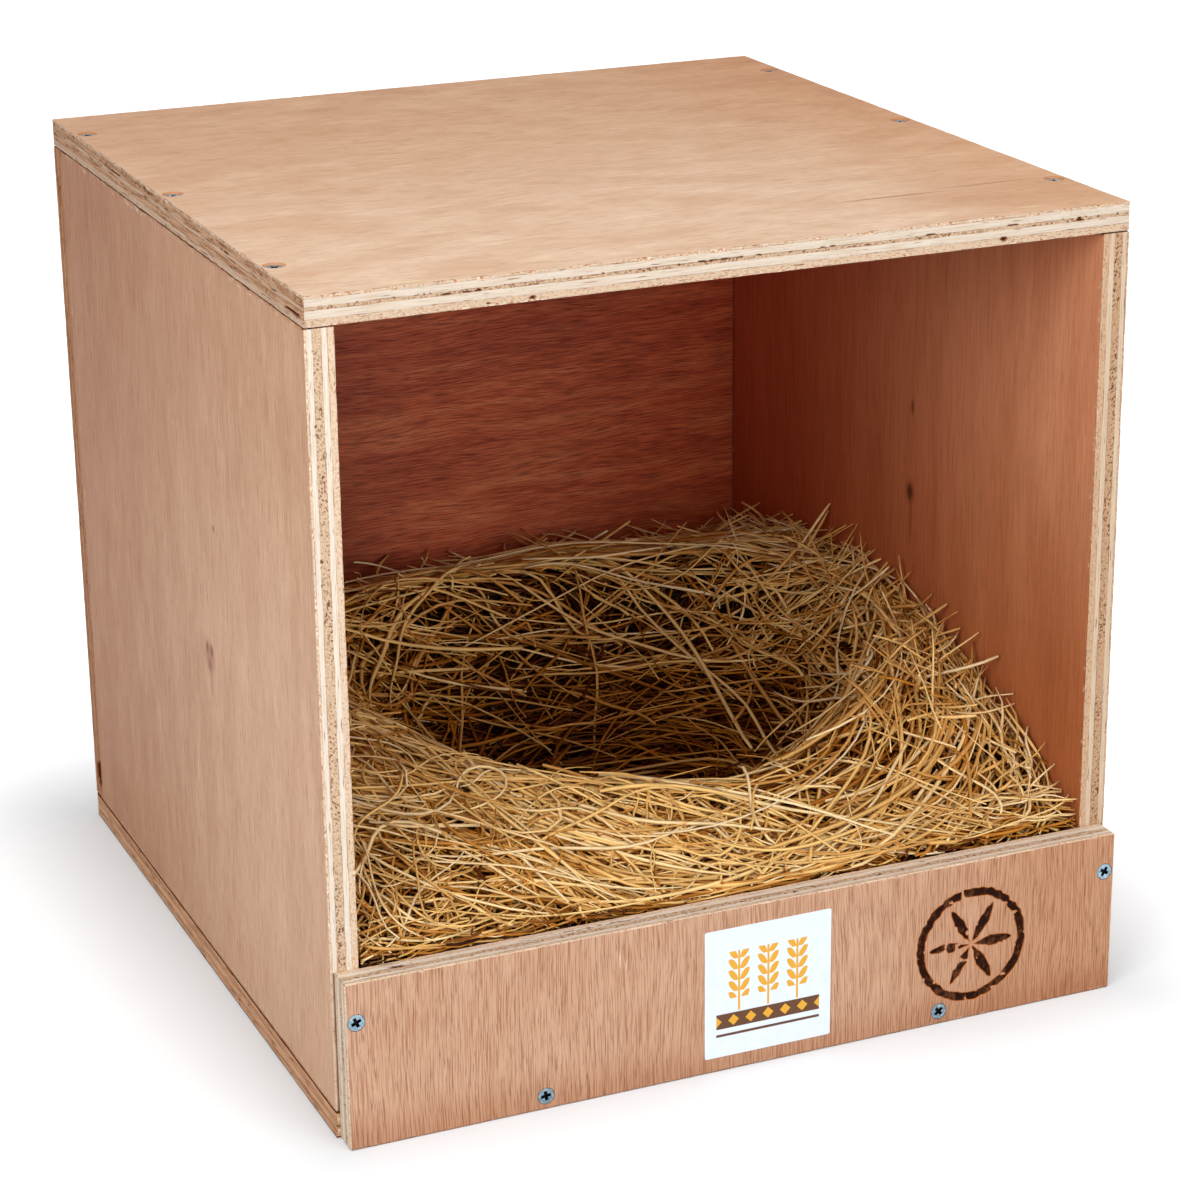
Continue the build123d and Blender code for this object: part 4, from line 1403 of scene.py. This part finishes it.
# Dry wheat straw: glossy flattened stalks, pale gold to brown, with weather spots and ribs along them
def stalkMaterial(name):
    material, add = newMaterial(name)
    columnCount = strawLook["columns"]
    place = add("UVMap", uv_map="OFBake")
    columns = add("VectorMath MULTIPLY", {0: place, 1: (columnCount, 1, 1)})
    column, alongIt = (add("SeparateXYZ", {0: columns}, out=i) for i in (0, 1))
    number = add("Math FLOOR", {0: column})
    tone = add("Math DIVIDE", {0: number, 1: float(columnCount)})
    colour = add("ValToRGB", {0: tone}, stops=strawLook["tones"])
    kind = add("TexWhiteNoise", {"W": number}, noise_dimensions="1D")
    for tint, few, many, amount in strawLook["kinds"]:
        tinted = add("MapRange", {0: kind, 1: few, 2: many, 4: amount})
        colour = add("Mix", {0: tinted, 6: colour, 7: tint}, **colourMix)
    spotPlace = add("CombineXYZ", {0: alongIt, 1: number})
    spot = add("TexNoise", {
        "Vector": spotPlace, "Scale": strawLook["spotsAlong"], "Detail": 3.0, "Roughness": 0.6})
    least, most = strawLook["shade"]
    shade = add("MapRange", {0: spot, 1: 0.3, 2: 0.7, 3: least, 4: most})
    colour = add("Mix", {0: 1.0, 6: colour, 7: shade}, **colourMix, blend_type="MULTIPLY")
    few, many = strawLook["spotAt"]
    spotted = add("MapRange", {0: spot, 1: few, 2: many, 4: strawLook["spotAmount"]})
    colour = add("Mix", {0: spotted, 6: colour, 7: strawLook["spot"]}, **colourMix)
    inColumn = add("Math FRACT", {0: column})
    rib = add("Math MULTIPLY", {0: inColumn, 1: strawLook["ribs"]})
    rib = add("Math SINE", {0: rib})
    least, most = strawLook["ribShade"]
    ribbed = add("MapRange", {0: rib, 1: -1.0, 2: 1.0, 3: least, 4: most})
    colour = add("Mix", {0: 1.0, 6: colour, 7: ribbed}, **colourMix, blend_type="MULTIPLY")
    smooth, dull = strawLook["roughness"]
    rough = add("MapRange", {0: spot, 1: 0.3, 2: 0.7, 3: smooth, 4: dull})
    surface = add("BsdfPrincipled", {
        "Base Color": colour, "Roughness": rough, "IOR": 1.5, "Specular IOR Level": strawLook["gloss"]})
    add("OutputMaterial", {"Surface": surface})
    return material


# Packed straw litter: what little shows between the stalks is fibrous, and painted dark as shade
def shadedLitterMaterial(name):
    material, add = newMaterial(name)
    place = add("TexCoord", out="Object")
    fibre = fibrePattern(add, place, *strawLook["litterMm"], detail=3.0, roughness=0.6)
    dark, pale = strawLook["litter"]
    colour = add("ValToRGB", {0: fibre}, stops=[(0.35, dark), (0.7, pale)])
    relief = {"Height": fibre, "Strength": 0.8, "Distance": strawLook["litterReliefMm"] * mm}
    bump = add("Bump", relief)
    surface = add("BsdfPrincipled", {"Base Color": colour, "Roughness": 0.85, "Normal": bump})
    add("OutputMaterial", {"Surface": surface})
    return material


def buildNest():
    rng = np.random.default_rng(nest["seed"])
    surface = nestSurface(rng)
    strawCore(surface)
    for bed in beds.values():
        strawPiece(rng, bed, surface)


buildStudio()
veneers = {name: veneerMaterial("lauan veneer " + name, look) for name, look in veneerLooks.items()}
edgeWoods = {}
for panel in panels:
    plies = plywood["plyLinesMm"][panel["plies"]]
    edgeWoods[panel["piece"]] = edgeMaterial("sawn edge of " + panel["piece"], plies, panel["edgeToneAndShade"])
for index, panel in enumerate(panels):
    plywoodPanel(index, panel)
dressScrews()
dressLabel()
strawStalk = stalkMaterial("dry wheat straw")
shadedLitter = shadedLitterMaterial("packed straw litter")
buildNest()
